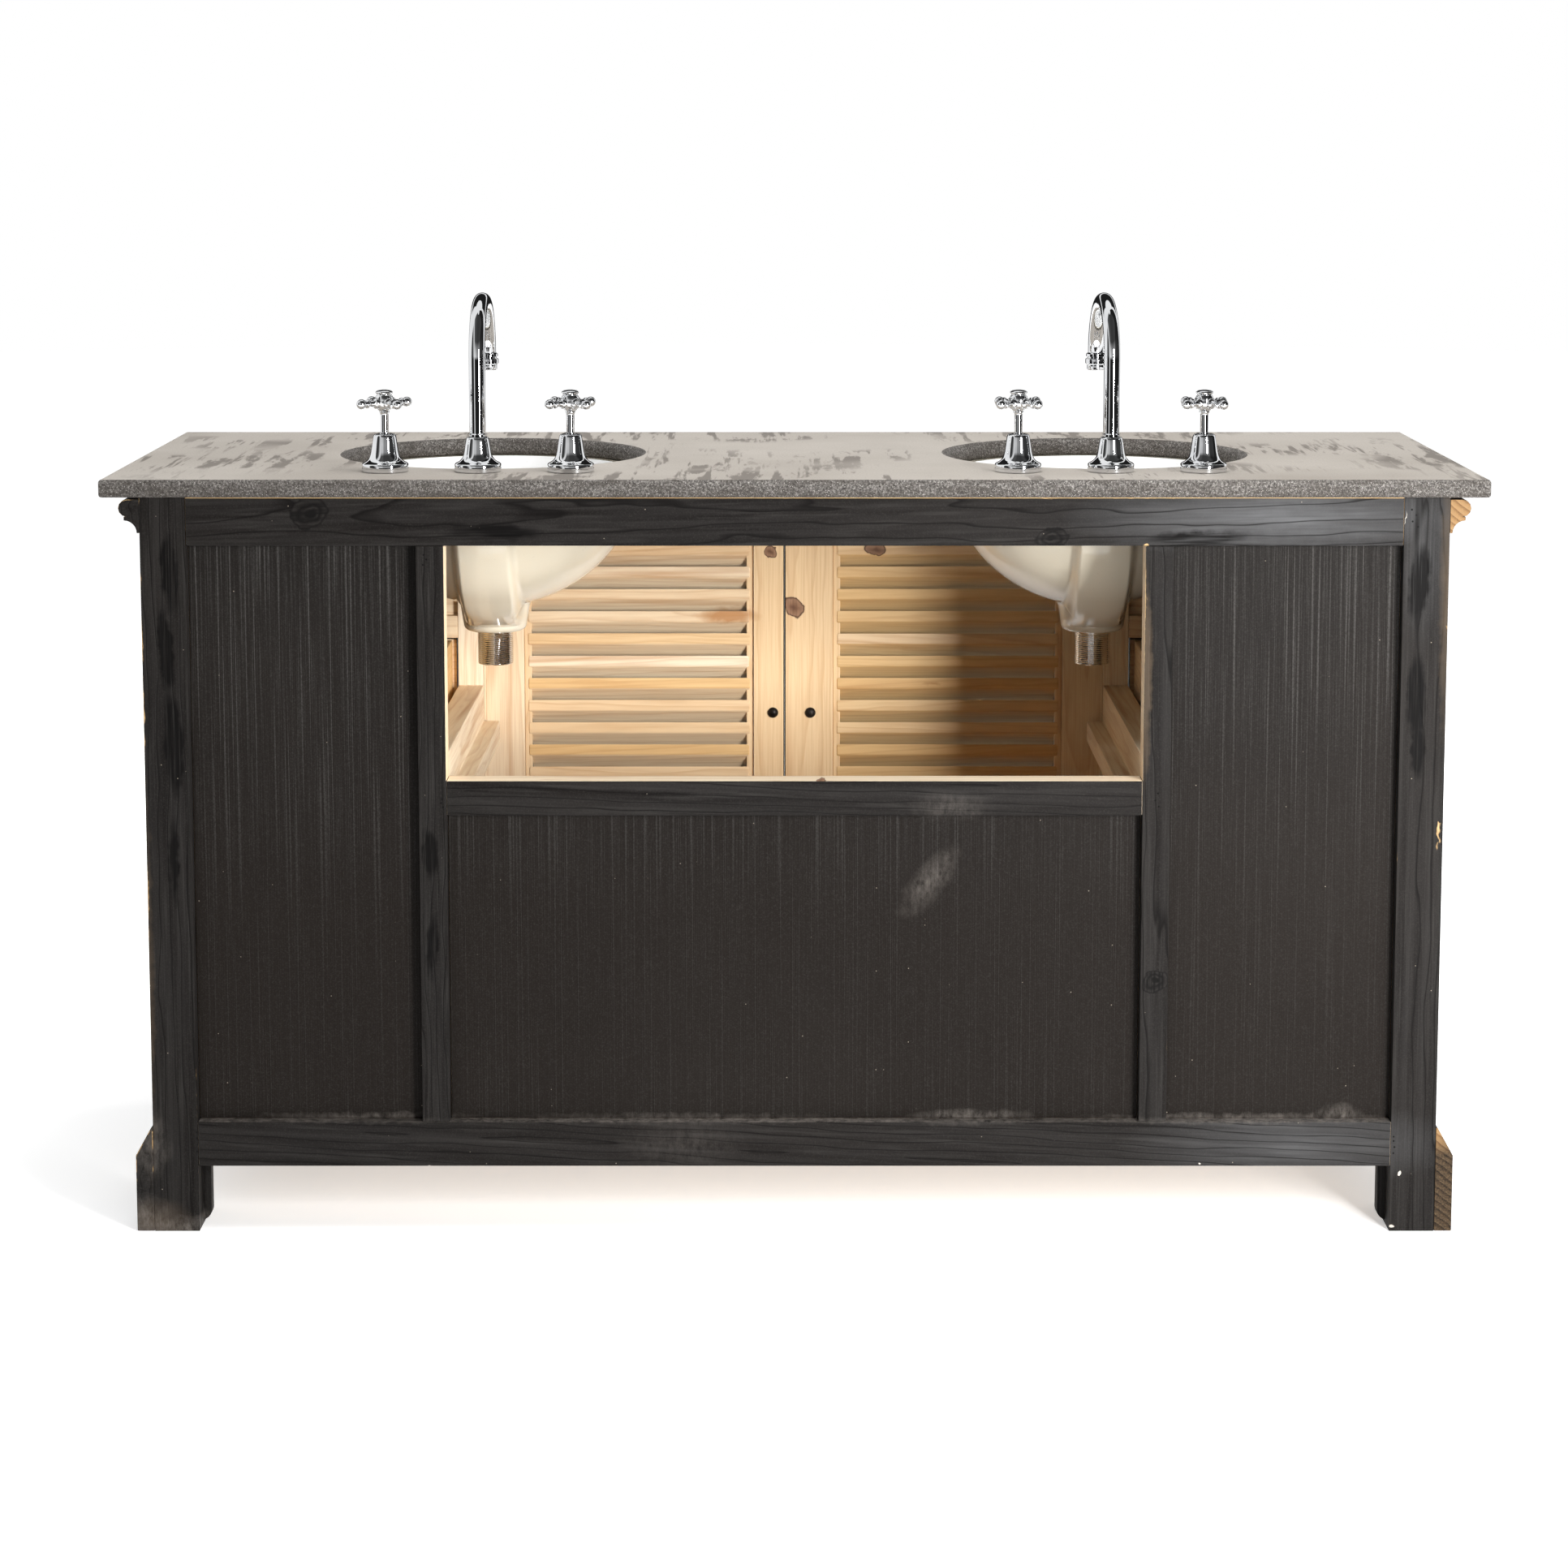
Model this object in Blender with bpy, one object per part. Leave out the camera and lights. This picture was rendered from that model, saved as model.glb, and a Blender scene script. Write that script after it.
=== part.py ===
"""Double bathroom vanity: a painted pine cabinet with a stone top, two undermount basins and two tap sets.

Metres, +Z up. The front faces -Y and the open plumbing side faces +Y. The origin is on the floor, under the
middle of the stone top. Left (-X) and right (+X) are those of a person who stands at the basins.
"""

import math

import bmesh
import bpy
from mathutils import Matrix, Vector

# Clearances
SEAT = 0.0003  # between two pieces that touch
SWING = 0.0025  # round an inset door or drawer front
DRAWER_SIDE_PLAY = 0.008
DRAWER_TOP_PLAY = 0.004
DRAWER_BACK_PLAY = 0.053

# Cabinet frame, from the middle outwards
DOOR_OPENING_WIDTH = 0.770
STILE_WIDTH = 0.031
BANK_WIDTH = 0.252
POST_WIDTH = 0.050
SIDE_OVERHANG = 0.042

# Cabinet frame, from the floor up
FOOT_HEIGHT = 0.075
BOTTOM_RAIL_HEIGHT = 0.051
DOOR_OPENING_HEIGHT = 0.650
TOP_RAIL_HEIGHT = 0.054
TOP_THICKNESS = 0.020

# Cabinet frame, from the front edge of the top to its rear edge
FRONT_OVERHANG = 0.035
FRAME_THICKNESS = 0.030
BASIN_TO_FRAME = 0.004
TAPS_BEHIND_RIM = 0.021
TAPS_TO_FRAME = 0.046
REAR_OVERHANG = 0.010

# Frame members
POST_DEPTH = 0.045
FOOT_BLOCK_WIDTH = 0.009
FOOT_BLOCK_RADIUS = 0.012
FOOT_BLOCK_LIFT = 0.003
REAR_OPENING_HEIGHT = 0.262
MIDDLE_RAIL_HEIGHT = 0.039
PANEL_RECESS = 0.014
PANEL_THICKNESS = 0.008
SIDE_THICKNESS = 0.024
SIDE_RECESS = 0.010
SIDE_RAIL_HEIGHT = 0.090
FLOOR_THICKNESS = 0.018
PARTITION_DROP = 0.236
PARTITION_RAIL_HEIGHT = 0.050
CLEAT_WIDTH = 0.020
CLEAT_HEIGHT = 0.025
CLEAT_DROP = 0.045
APRON_HEIGHT = 0.177
APRON_THICKNESS = 0.020
DIVIDER_HEIGHT = 0.028
WEB_THICKNESS = 0.027
RUNNER_WIDTH = 0.030

# Mouldings
CROWN_PROJECTION = 0.023
CROWN_BELOW_TOP = 0.003
CROWN_NOSE = 0.0095
CROWN_STEP = 0.006
CROWN_FILLET = 0.004
CROWN_FOOT = 0.003
PLINTH_PROJECTION = 0.020
PLINTH_HEIGHT = 0.119
PLINTH_CHAMFER = 0.032
PLINTH_LIP = 0.002
BRACKET_LENGTH = 0.120
BRACKET_HEIGHT = 0.052
BRACKET_RADIUS = 0.034

# Stone top and basins
TOP_EDGE = 0.003
BASIN_FROM_STILE = 0.032
CUTOUT_RADIUS = 0.173
RIM_LEDGE = 0.014
RIM_THICKNESS = 0.012
BOWL_INSET = 0.001
BOWL_DEPTH = 0.160
BOWL_WALL = 0.010
BOSS_RADIUS = 0.041
BOSS_HEIGHT = 0.035
BOSS_ROUND = 0.006
CHANNEL_WIDTH = 0.057
CHANNEL_DEPTH = 0.016
CHANNEL_FOOT = 0.004
WASTE_RADIUS = 0.021
WASTE_WALL = 0.0035
WASTE_FLANGE_RADIUS = 0.034
WASTE_FLANGE_HEIGHT = 0.003
WASTE_BAR = 0.004
WASTE_TAIL = 0.040

# Taps
TAP_SPACING = 0.1035
TAP_HOLE_CLEARANCE = 0.001
SHANK_RADIUS = 0.010
SHANK_LENGTH = 0.045
BACKNUT_RADIUS = 0.0165
BACKNUT_HEIGHT = 0.009
TAP_FLANGE_RADIUS = 0.026
TAP_FLANGE_HEIGHT = 0.009
TAP_BELL_HEIGHT = 0.042
TAP_BELL_RADIUS = 0.012
TAP_BELL_LIP = 0.003
TAP_BELL_FLARE = 2.2
TAP_FLANGE_ROUND = 0.002
TAP_FLANGE_STEP = 0.006
STEM_RADIUS = 0.0045
STEM_LENGTH = 0.023
HUB_RADIUS = 0.0105
HUB_HEIGHT = 0.022
HUB_DOME = 0.004
HUB_ROUND = 0.003
ARM_REACH = 0.028
ARM_RADIUS = 0.0035
BALL_RADIUS = 0.0053
SPOUT_BELL_HEIGHT = 0.039
SPOUT_TUBE_RADIUS = 0.009
SPOUT_RISE = 0.124
SPOUT_REACH = 0.126
SPOUT_NOZZLE_LENGTH = 0.020
SPOUT_COLLAR_RADIUS = 0.012
SPOUT_OUTLET_RADIUS = 0.010
SPOUT_OUTLET_BORE = 0.0075
SPOUT_OUTLET_RECESS = 0.006

# Louvre doors
DOOR_THICKNESS = 0.024
DOOR_STILE_WIDTH = 0.057
DOOR_RAIL_WIDTH = 0.057
DOOR_SPLIT = 0.011  # the doors meet this far to the right of the middle
SLAT_PITCH = 0.028
SLAT_EDGE = 0.014
SLAT_SLOPE = math.radians(45)
SLAT_INSET = 0.002
SLAT_TENON = 0.004
DOOR_KNOB_GAUGE = 0.0465
DOOR_KNOB_CLEARANCE = 0.0006
DOOR_KNOB_RISE = 0.376
HINGE_RADIUS = 0.005
HINGE_LENGTH = 0.070
HINGE_END_SPACE = 0.090
HINGE_TIP = 0.004
HINGE_CLEARANCE = 0.0006
HINGE_LEAF_PLAY = 0.0004
HINGE_LEAF_DEPTH = 0.024

# Drawers and knobs
DRAWER_FRONT_THICKNESS = 0.020
DRAWER_WALL = 0.012
DRAWER_BOTTOM = 0.008
KNOB_RADIUS = 0.0125
KNOB_BUN = 0.017
KNOB_NECK_RADIUS = 0.0065
KNOB_FOOT_RADIUS = 0.0095
KNOB_FOOT = 0.003
KNOB_LENGTH = 0.028
KNOB_SHANK_RADIUS = 0.003
KNOB_HOLE_CLEARANCE = 0.0004
KNOB_HEAD_RADIUS = 0.00675
KNOB_HEAD_HEIGHT = 0.0045

# Facets of round shapes
BASIN_STEPS = 32
TAP_STEPS = 16
ARM_STEPS = 8
TUBE_STEPS = 12
KNOB_STEPS = 14
ARC_STEPS = 6
ARCH_STEPS = 14

# Places that follow from the sizes above
DOOR_HALF = DOOR_OPENING_WIDTH / 2
BANK_INNER = DOOR_HALF + STILE_WIDTH
BANK_OUTER = BANK_INNER + BANK_WIDTH
BODY_HALF = BANK_OUTER + POST_WIDTH
TOP_HALF = BODY_HALF + SIDE_OVERHANG
BASIN_OFFSET = DOOR_HALF - BASIN_FROM_STILE
RIM_RADIUS = CUTOUT_RADIUS + RIM_LEDGE
TOP_DEPTH = (
    FRONT_OVERHANG + FRAME_THICKNESS + BASIN_TO_FRAME + 2 * RIM_RADIUS
    + TAPS_BEHIND_RIM + TAPS_TO_FRAME + FRAME_THICKNESS + REAR_OVERHANG
)
FRONT = -TOP_DEPTH / 2 + FRONT_OVERHANG
FRONT_INNER = FRONT + FRAME_THICKNESS
REAR = TOP_DEPTH / 2 - REAR_OVERHANG
REAR_INNER = REAR - FRAME_THICKNESS
PANEL_BACK = REAR - PANEL_RECESS
PANEL_FRONT = PANEL_BACK - PANEL_THICKNESS
BASIN_Y = FRONT_INNER + BASIN_TO_FRAME + RIM_RADIUS
TAP_Y = BASIN_Y + RIM_RADIUS + TAPS_BEHIND_RIM
BOWL_RADIUS = CUTOUT_RADIUS - BOWL_INSET
SILL = FOOT_HEIGHT + BOTTOM_RAIL_HEIGHT
HEAD = SILL + DOOR_OPENING_HEIGHT
UNDER_TOP = HEAD + TOP_RAIL_HEIGHT
HEIGHT = UNDER_TOP + TOP_THICKNESS
REAR_SILL = HEAD - REAR_OPENING_HEIGHT
MIDDLE_RAIL_UNDER = REAR_SILL - MIDDLE_RAIL_HEIGHT
DIVIDER_UNDER = HEAD - APRON_HEIGHT
DRAWER_OPENING_HEIGHT = (DIVIDER_UNDER - SILL - WEB_THICKNESS) / 2
WEB_UNDER = SILL + DRAWER_OPENING_HEIGHT
WEB_TOP = WEB_UNDER + WEB_THICKNESS
HINGE_X = DOOR_HALF - SWING / 2
HINGE_Y = FRONT - HINGE_CLEARANCE - HINGE_RADIUS
SMOOTH_ANGLE = math.radians(40)
SIDES = {"left": -1, "right": 1}


def remove_everything():
    for obj in list(bpy.data.objects):
        bpy.data.objects.remove(obj, do_unlink=True)


def principled(name, colour, roughness, metallic=0.0):
    material = bpy.data.materials.new(name)
    material.use_nodes = True
    shader = material.node_tree.nodes["Principled BSDF"]
    shader.inputs["Base Color"].default_value = (*colour, 1.0)
    shader.inputs["Roughness"].default_value = roughness
    shader.inputs["Metallic"].default_value = metallic
    material.diffuse_color = (*colour, 1.0)
    return material


def add_object(name, shape, material):
    """A named object from a bmesh in world coordinates, with its faces turned outwards."""
    bmesh.ops.recalc_face_normals(shape, faces=shape.faces)
    mesh = bpy.data.meshes.new(name)
    shape.to_mesh(mesh)
    shape.free()
    mesh.materials.append(material)
    obj = bpy.data.objects.new(name, mesh)
    bpy.context.scene.collection.objects.link(obj)
    return obj


def box(name, low, high, material):
    shape = bmesh.new()
    bmesh.ops.create_cube(shape, size=1.0)
    low, high = Vector(low), Vector(high)
    for vertex in shape.verts:
        vertex.co = Vector((low[i] + (vertex.co[i] + 0.5) * (high[i] - low[i]) for i in range(3)))
    return add_object(name, shape, material)


def side_box(name, sign, inner, outer, low, high, material):
    """A box between two distances from the middle plane, on the side that sign names."""
    xs = sorted((sign * inner, sign * outer))
    return box(name, (xs[0], *low), (xs[1], *high), material)


def prism(name, outline, axis, start, end, material):
    """A flat outline pushed along axis. The outline's points are in the other two axes, in X, Y, Z order."""
    shape = bmesh.new()
    across = [i for i in range(3) if i != axis]
    corners = []
    for first, second in outline:
        place = [0.0, 0.0, 0.0]
        place[axis], place[across[0]], place[across[1]] = start, first, second
        corners.append(shape.verts.new(place))
    face = shape.faces.new(corners)
    pushed = bmesh.ops.extrude_face_region(shape, geom=[face])["geom"]
    moved = [item for item in pushed if isinstance(item, bmesh.types.BMVert)]
    offset = Vector([end - start if i == axis else 0.0 for i in range(3)])
    bmesh.ops.translate(shape, verts=moved, vec=offset)
    return add_object(name, shape, material)


def smooth(obj):
    obj.data.shade_smooth()
    obj.data.set_sharp_from_angle(angle=SMOOTH_ANGLE)


def turned(name, profile, steps, material, centre=(0, 0, 0), axis="Z"):
    """A profile of (radius, height) points spun round Z, then laid so that its height runs along axis."""
    shape = bmesh.new()
    verts = [shape.verts.new((radius, 0.0, height)) for radius, height in profile]
    edges = [shape.edges.new(pair) for pair in zip(verts, verts[1:])]
    if profile[0][0] > 0:
        edges.append(shape.edges.new((verts[-1], verts[0])))
    full = {"axis": (0, 0, 1), "cent": (0, 0, 0), "angle": 2 * math.pi, "steps": steps}
    bmesh.ops.spin(shape, geom=verts + edges, use_merge=True, **full)
    bmesh.ops.remove_doubles(shape, verts=shape.verts, dist=1e-6)
    quarter = math.pi / 2
    laid = {"Z": Matrix(), "X": Matrix.Rotation(quarter, 4, "Y"), "Y": Matrix.Rotation(quarter, 4, "X")}
    bmesh.ops.transform(shape, matrix=Matrix.Translation(centre) @ laid[axis], verts=shape.verts)
    obj = add_object(name, shape, material)
    smooth(obj)
    return obj


def combine(target, other, operation):
    """Cuts other from target, or joins it to target, and removes other."""
    modifier = target.modifiers.new(operation.lower(), "BOOLEAN")
    modifier.operation = operation
    modifier.solver = "EXACT"
    modifier.object = other
    bpy.context.view_layer.update()
    result = bpy.data.meshes.new_from_object(target.evaluated_get(bpy.context.evaluated_depsgraph_get()))
    target.modifiers.remove(modifier)
    result.name = target.name
    target.data = result
    bpy.data.objects.remove(other, do_unlink=True)


def put_origin(obj, point):
    """Moves an object's origin to a point, such as one on its joint's axis, and leaves its shape in place."""
    obj.data.transform(Matrix.Translation(-Vector(point)))
    obj.location = point


def attach(child, parent):
    child.parent = parent
    child.matrix_parent_inverse = Matrix.Translation(-Vector(parent.location))


def arc(centre, radius, start, end, steps=ARC_STEPS):
    """Points on an arc from one angle to another, in degrees."""
    angles = [math.radians(start + (end - start) * i / steps) for i in range(steps + 1)]
    return [(centre[0] + radius * math.cos(a), centre[1] + radius * math.sin(a)) for a in angles]


PAINTED = principled("black_painted_pine", (0.028, 0.028, 0.030), 0.62)
RAW = principled("raw_pine", (0.80, 0.57, 0.32), 0.65)
STONE = principled("honed_bluestone", (0.42, 0.39, 0.36), 0.55)
CERAMIC = principled("glazed_ceramic", (0.86, 0.82, 0.74), 0.12)
CHROME = principled("polished_chrome", (0.80, 0.81, 0.82), 0.06, 1.0)
IRON = principled("black_iron", (0.02, 0.02, 0.02), 0.45, 0.6)


def make_stone_top():
    """The slab, its upper edges eased, with a round cut-out for each basin and a hole for each tap."""
    top = box("stone_top", (-TOP_HALF, -TOP_DEPTH / 2, UNDER_TOP), (TOP_HALF, TOP_DEPTH / 2, HEIGHT), STONE)
    slab = bmesh.new()
    slab.from_mesh(top.data)
    middle = (UNDER_TOP + HEIGHT) / 2
    upper = [edge for edge in slab.edges if all(vertex.co.z > middle for vertex in edge.verts)]
    bmesh.ops.bevel(slab, geom=upper, offset=TOP_EDGE, segments=2, profile=0.5, affect="EDGES")
    slab.to_mesh(top.data)
    slab.free()
    high, low = HEIGHT + TOP_THICKNESS, UNDER_TOP - TOP_THICKNESS
    for sign in SIDES.values():
        x = sign * BASIN_OFFSET
        cuts = [(x, BASIN_Y, CUTOUT_RADIUS, BASIN_STEPS)]
        for offset in (-TAP_SPACING, 0, TAP_SPACING):
            cuts.append((x + offset, TAP_Y, SHANK_RADIUS + TAP_HOLE_CLEARANCE, TAP_STEPS))
        for cut_x, cut_y, radius, steps in cuts:
            profile = [(0, high), (radius, high), (radius, low), (0, low)]
            combine(top, turned("cut", profile, steps, STONE, (cut_x, cut_y, 0)), "DIFFERENCE")


def bowl_wall(radius, depth, first_drop, last_radius, steps=8):
    """Points down an elliptic wall, from first_drop below the stone to where it closes to last_radius."""
    first, last = math.asin(first_drop / depth), math.acos(last_radius / radius)
    angles = [first + (last - first) * i / steps for i in range(steps + 1)]
    return [(radius * math.cos(a), UNDER_TOP - depth * math.sin(a)) for a in angles]


def make_basin(side, sign):
    """A round bowl with a rim under the stone, a drain boss and an overflow channel down its rear."""
    centre = (sign * BASIN_OFFSET, BASIN_Y, 0)
    rim_top = UNDER_TOP - SEAT
    rim_under = rim_top - RIM_THICKNESS
    wall = bowl_wall(BOWL_RADIUS, BOWL_DEPTH, UNDER_TOP - rim_under, BOSS_RADIUS)
    boss_under = wall[-1][1] - BOSS_HEIGHT
    boss_edge = BOSS_RADIUS - BOSS_ROUND
    outside = [(0, rim_top), (RIM_RADIUS, rim_top), (RIM_RADIUS, rim_under)] + wall
    outside += [(BOSS_RADIUS, boss_under + BOSS_ROUND), (boss_edge, boss_under), (0, boss_under)]
    basin = turned(f"basin_{side}", outside, BASIN_STEPS, CERAMIC, centre)

    step = (CHANNEL_DEPTH - CHANNEL_FOOT) / (len(wall) - 1)
    back = [(BASIN_Y + r + CHANNEL_DEPTH - step * i, z) for i, (r, z) in enumerate(wall)]
    back[0] = (BASIN_Y + BOWL_RADIUS, rim_under - SEAT)
    foot = boss_under + BOSS_ROUND
    outline = [(BASIN_Y, rim_under - SEAT)] + back + [(BASIN_Y + boss_edge, foot), (BASIN_Y, foot)]
    half = CHANNEL_WIDTH / 2
    channel = prism("overflow_channel", outline, 0, centre[0] - half, centre[0] + half, CERAMIC)
    combine(basin, channel, "UNION")

    inner = bowl_wall(BOWL_RADIUS - BOWL_WALL, BOWL_DEPTH - BOWL_WALL, 0.0, WASTE_FLANGE_RADIUS)
    floor = inner[-1][1]
    mouth = UNDER_TOP + BOWL_WALL
    inside = [(0, mouth), (inner[0][0], mouth)] + inner + [(0, floor)]
    combine(basin, turned("inside", inside, BASIN_STEPS, CERAMIC, centre), "DIFFERENCE")
    hole, below = WASTE_RADIUS + SEAT, boss_under - BOWL_WALL
    drain = [(0, mouth), (hole, mouth), (hole, below), (0, below)]
    combine(basin, turned("drain", drain, BASIN_STEPS, CERAMIC, centre), "DIFFERENCE")
    return floor, boss_under


def make_waste(side, sign, floor, boss_under):
    """The drain fitting: a flange on the bowl's floor, crossed by two bars, and a tail below the boss."""
    centre = Vector((sign * BASIN_OFFSET, BASIN_Y, 0))
    seat, under = floor + SEAT, boss_under - WASTE_TAIL
    bore = WASTE_RADIUS - WASTE_WALL
    crown = seat + WASTE_FLANGE_HEIGHT
    edge = WASTE_FLANGE_RADIUS - WASTE_FLANGE_HEIGHT
    profile = [(bore, crown), (edge, crown), (WASTE_FLANGE_RADIUS - 2 * SEAT, seat), (WASTE_RADIUS, seat)]
    profile += [(WASTE_RADIUS, under), (bore, under)]
    waste = turned(f"waste_{side}", profile, BASIN_STEPS, CHROME, centre)
    reach, half = bore + WASTE_WALL / 2, WASTE_BAR / 2
    for across in ((reach, half), (half, reach)):
        low = centre + Vector((-across[0], -across[1], seat - WASTE_BAR))
        high = centre + Vector((across[0], across[1], seat + WASTE_FLANGE_HEIGHT / 2))
        combine(waste, box("bar", low, high, CHROME), "UNION")


def bell_profile(height):
    """A tap base from the top down: bell, flange, then the shank and its nut below the stone."""
    foot = HEIGHT + SEAT
    shoulder = foot + TAP_FLANGE_HEIGHT
    lip = foot + height - TAP_BELL_LIP
    waist = TAP_FLANGE_RADIUS - TAP_FLANGE_STEP
    points = [(0, foot + height), (TAP_BELL_RADIUS - TAP_FLANGE_ROUND, foot + height), (TAP_BELL_RADIUS, lip)]
    for share in (0.25, 0.5, 0.75, 1.0):
        radius = TAP_BELL_RADIUS + (waist - TAP_BELL_RADIUS) * share**TAP_BELL_FLARE
        points.append((radius, lip - (lip - shoulder - TAP_BELL_LIP) * share))
    rim = TAP_FLANGE_RADIUS - TAP_FLANGE_ROUND
    points += [(rim, shoulder), (TAP_FLANGE_RADIUS, shoulder - TAP_FLANGE_ROUND)]
    points += [(TAP_FLANGE_RADIUS, foot), (SHANK_RADIUS, foot)]
    nut, end = UNDER_TOP - SEAT, UNDER_TOP - SHANK_LENGTH
    points += [(SHANK_RADIUS, nut), (BACKNUT_RADIUS, nut), (BACKNUT_RADIUS, nut - BACKNUT_HEIGHT)]
    return points + [(SHANK_RADIUS, nut - BACKNUT_HEIGHT), (SHANK_RADIUS, end), (0, end)]


def make_handle(name, centre):
    """A cross handle on its spindle: a domed hub with four ball-ended arms, turned 45 degrees."""
    foot = HEIGHT + TAP_BELL_HEIGHT + 2 * SEAT
    low = foot + STEM_LENGTH
    high = low + HUB_HEIGHT
    shoulder = HUB_RADIUS - HUB_ROUND
    profile = [(0, high + HUB_DOME), (shoulder / 2, high + HUB_DOME - HUB_ROUND / 3), (shoulder, high)]
    profile += [(HUB_RADIUS, high - HUB_ROUND), (HUB_RADIUS, low + HUB_ROUND), (shoulder, low)]
    profile += [(STEM_RADIUS, low), (STEM_RADIUS, foot), (0, foot)]
    handle = turned(name, profile, TAP_STEPS, CHROME)
    ball = [(radius, ARM_REACH + along) for along, radius in arc((0, 0), BALL_RADIUS, 0, 130, 4)]
    half = [(0, ball[0][1])] + ball[1:] + [(ARM_RADIUS, ARM_REACH - BALL_RADIUS)]
    bar = half + [(radius, -along) for radius, along in reversed(half)]
    for turn in (45, 135):
        arm = turned("arm", bar, ARM_STEPS, CHROME, axis="X")
        spread = Matrix.Rotation(math.radians(turn), 4, "Z")
        arm.data.transform(Matrix.Translation((0, 0, (low + high) / 2)) @ spread)
        combine(handle, arm, "UNION")
    handle.location = centre


def make_spout(name, centre):
    """A gooseneck tube that rises from its base, arches forward and ends in a collared outlet."""
    spring = HEIGHT + SPOUT_RISE
    bend = SPOUT_REACH / 2
    collar, end = spring - SPOUT_NOZZLE_LENGTH / 2, spring - SPOUT_NOZZLE_LENGTH
    stations = [(0.0, HEIGHT + SPOUT_BELL_HEIGHT + 2 * SEAT, 0.0, SPOUT_TUBE_RADIUS)]
    for i in range(ARCH_STEPS + 1):
        lean = math.pi * i / ARCH_STEPS
        y, z = bend * (math.cos(lean) - 1), spring + bend * math.sin(lean)
        stations.append((y, z, lean, SPOUT_TUBE_RADIUS))
    nozzle = [(spring, SPOUT_COLLAR_RADIUS), (collar, SPOUT_COLLAR_RADIUS), (collar, SPOUT_OUTLET_RADIUS)]
    nozzle += [(end, SPOUT_OUTLET_RADIUS), (end, SPOUT_OUTLET_BORE)]
    nozzle += [(end + SPOUT_OUTLET_RECESS, SPOUT_OUTLET_BORE)]
    stations += [(-SPOUT_REACH, z, math.pi, radius) for z, radius in nozzle]
    shape = bmesh.new()
    rings = []
    for y, z, lean, radius in stations:
        outward = Vector((0, math.cos(lean), math.sin(lean)))
        turns = [2 * math.pi * k / TUBE_STEPS for k in range(TUBE_STEPS)]
        offsets = [radius * (math.cos(t) * outward + math.sin(t) * Vector((1, 0, 0))) for t in turns]
        rings.append([shape.verts.new(Vector((0, y, z)) + offset) for offset in offsets])
    bridge(shape, rings)
    spout = add_object(name, shape, CHROME)
    smooth(spout)
    spout.location = centre


def make_taps(side, sign):
    middle = Vector((sign * BASIN_OFFSET, TAP_Y, 0))
    for hand, offset in (("hot", -TAP_SPACING), ("cold", TAP_SPACING)):
        place = middle + Vector((offset, 0, 0))
        turned(f"tap_base_{hand}_{side}", bell_profile(TAP_BELL_HEIGHT), TAP_STEPS, CHROME, place)
        make_handle(f"tap_handle_{hand}_{side}", place)
    turned(f"spout_base_{side}", bell_profile(SPOUT_BELL_HEIGHT), TAP_STEPS, CHROME, middle)
    make_spout(f"spout_{side}", middle)


def make_posts():
    """Corner posts. A rounded block on each foot's inner face fills the corner under the bottom rail."""
    for side, sign in SIDES.items():
        for end, face, inward in (("front", FRONT, 1), ("rear", REAR, -1)):
            ys = sorted((face, face + inward * POST_DEPTH))
            low, high = (ys[0], 0.0), (ys[1], UNDER_TOP - SEAT)
            post = side_box(f"{end}_post_{side}", sign, BANK_OUTER, BODY_HALF, low, high, PAINTED)
            seat, top = BANK_OUTER + POST_WIDTH / 2, FOOT_HEIGHT - SEAT
            edge = BANK_OUTER - FOOT_BLOCK_WIDTH
            corner = (edge + FOOT_BLOCK_RADIUS, FOOT_BLOCK_LIFT + FOOT_BLOCK_RADIUS)
            outline = [(seat, top), (edge, top)] + arc(corner, FOOT_BLOCK_RADIUS, 180, 270)
            outline = [(sign * x, z) for x, z in outline + [(seat, FOOT_BLOCK_LIFT)]]
            start, stop = face + inward * FRAME_THICKNESS, face + inward * (POST_DEPTH - SEAT)
            combine(post, prism("block", outline, 1, start, stop, PAINTED), "UNION")


def make_rails():
    span = BANK_OUTER - SEAT
    for end, low_y, high_y in (("front", FRONT, FRONT_INNER), ("rear", REAR_INNER, REAR)):
        box(f"{end}_top_rail", (-span, low_y, HEAD), (span, high_y, UNDER_TOP - SEAT), PAINTED)
        box(f"{end}_bottom_rail", (-span, low_y, FOOT_HEIGHT), (span, high_y, SILL), PAINTED)
        for side, sign in SIDES.items():
            low, high = (low_y, SILL + SEAT), (high_y, HEAD - SEAT)
            side_box(f"{end}_stile_{side}", sign, DOOR_HALF, BANK_INNER, low, high, PAINTED)
    inner = DOOR_HALF - SEAT
    box("rear_middle_rail", (-inner, REAR_INNER, MIDDLE_RAIL_UNDER), (inner, REAR, REAR_SILL), PAINTED)


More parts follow.
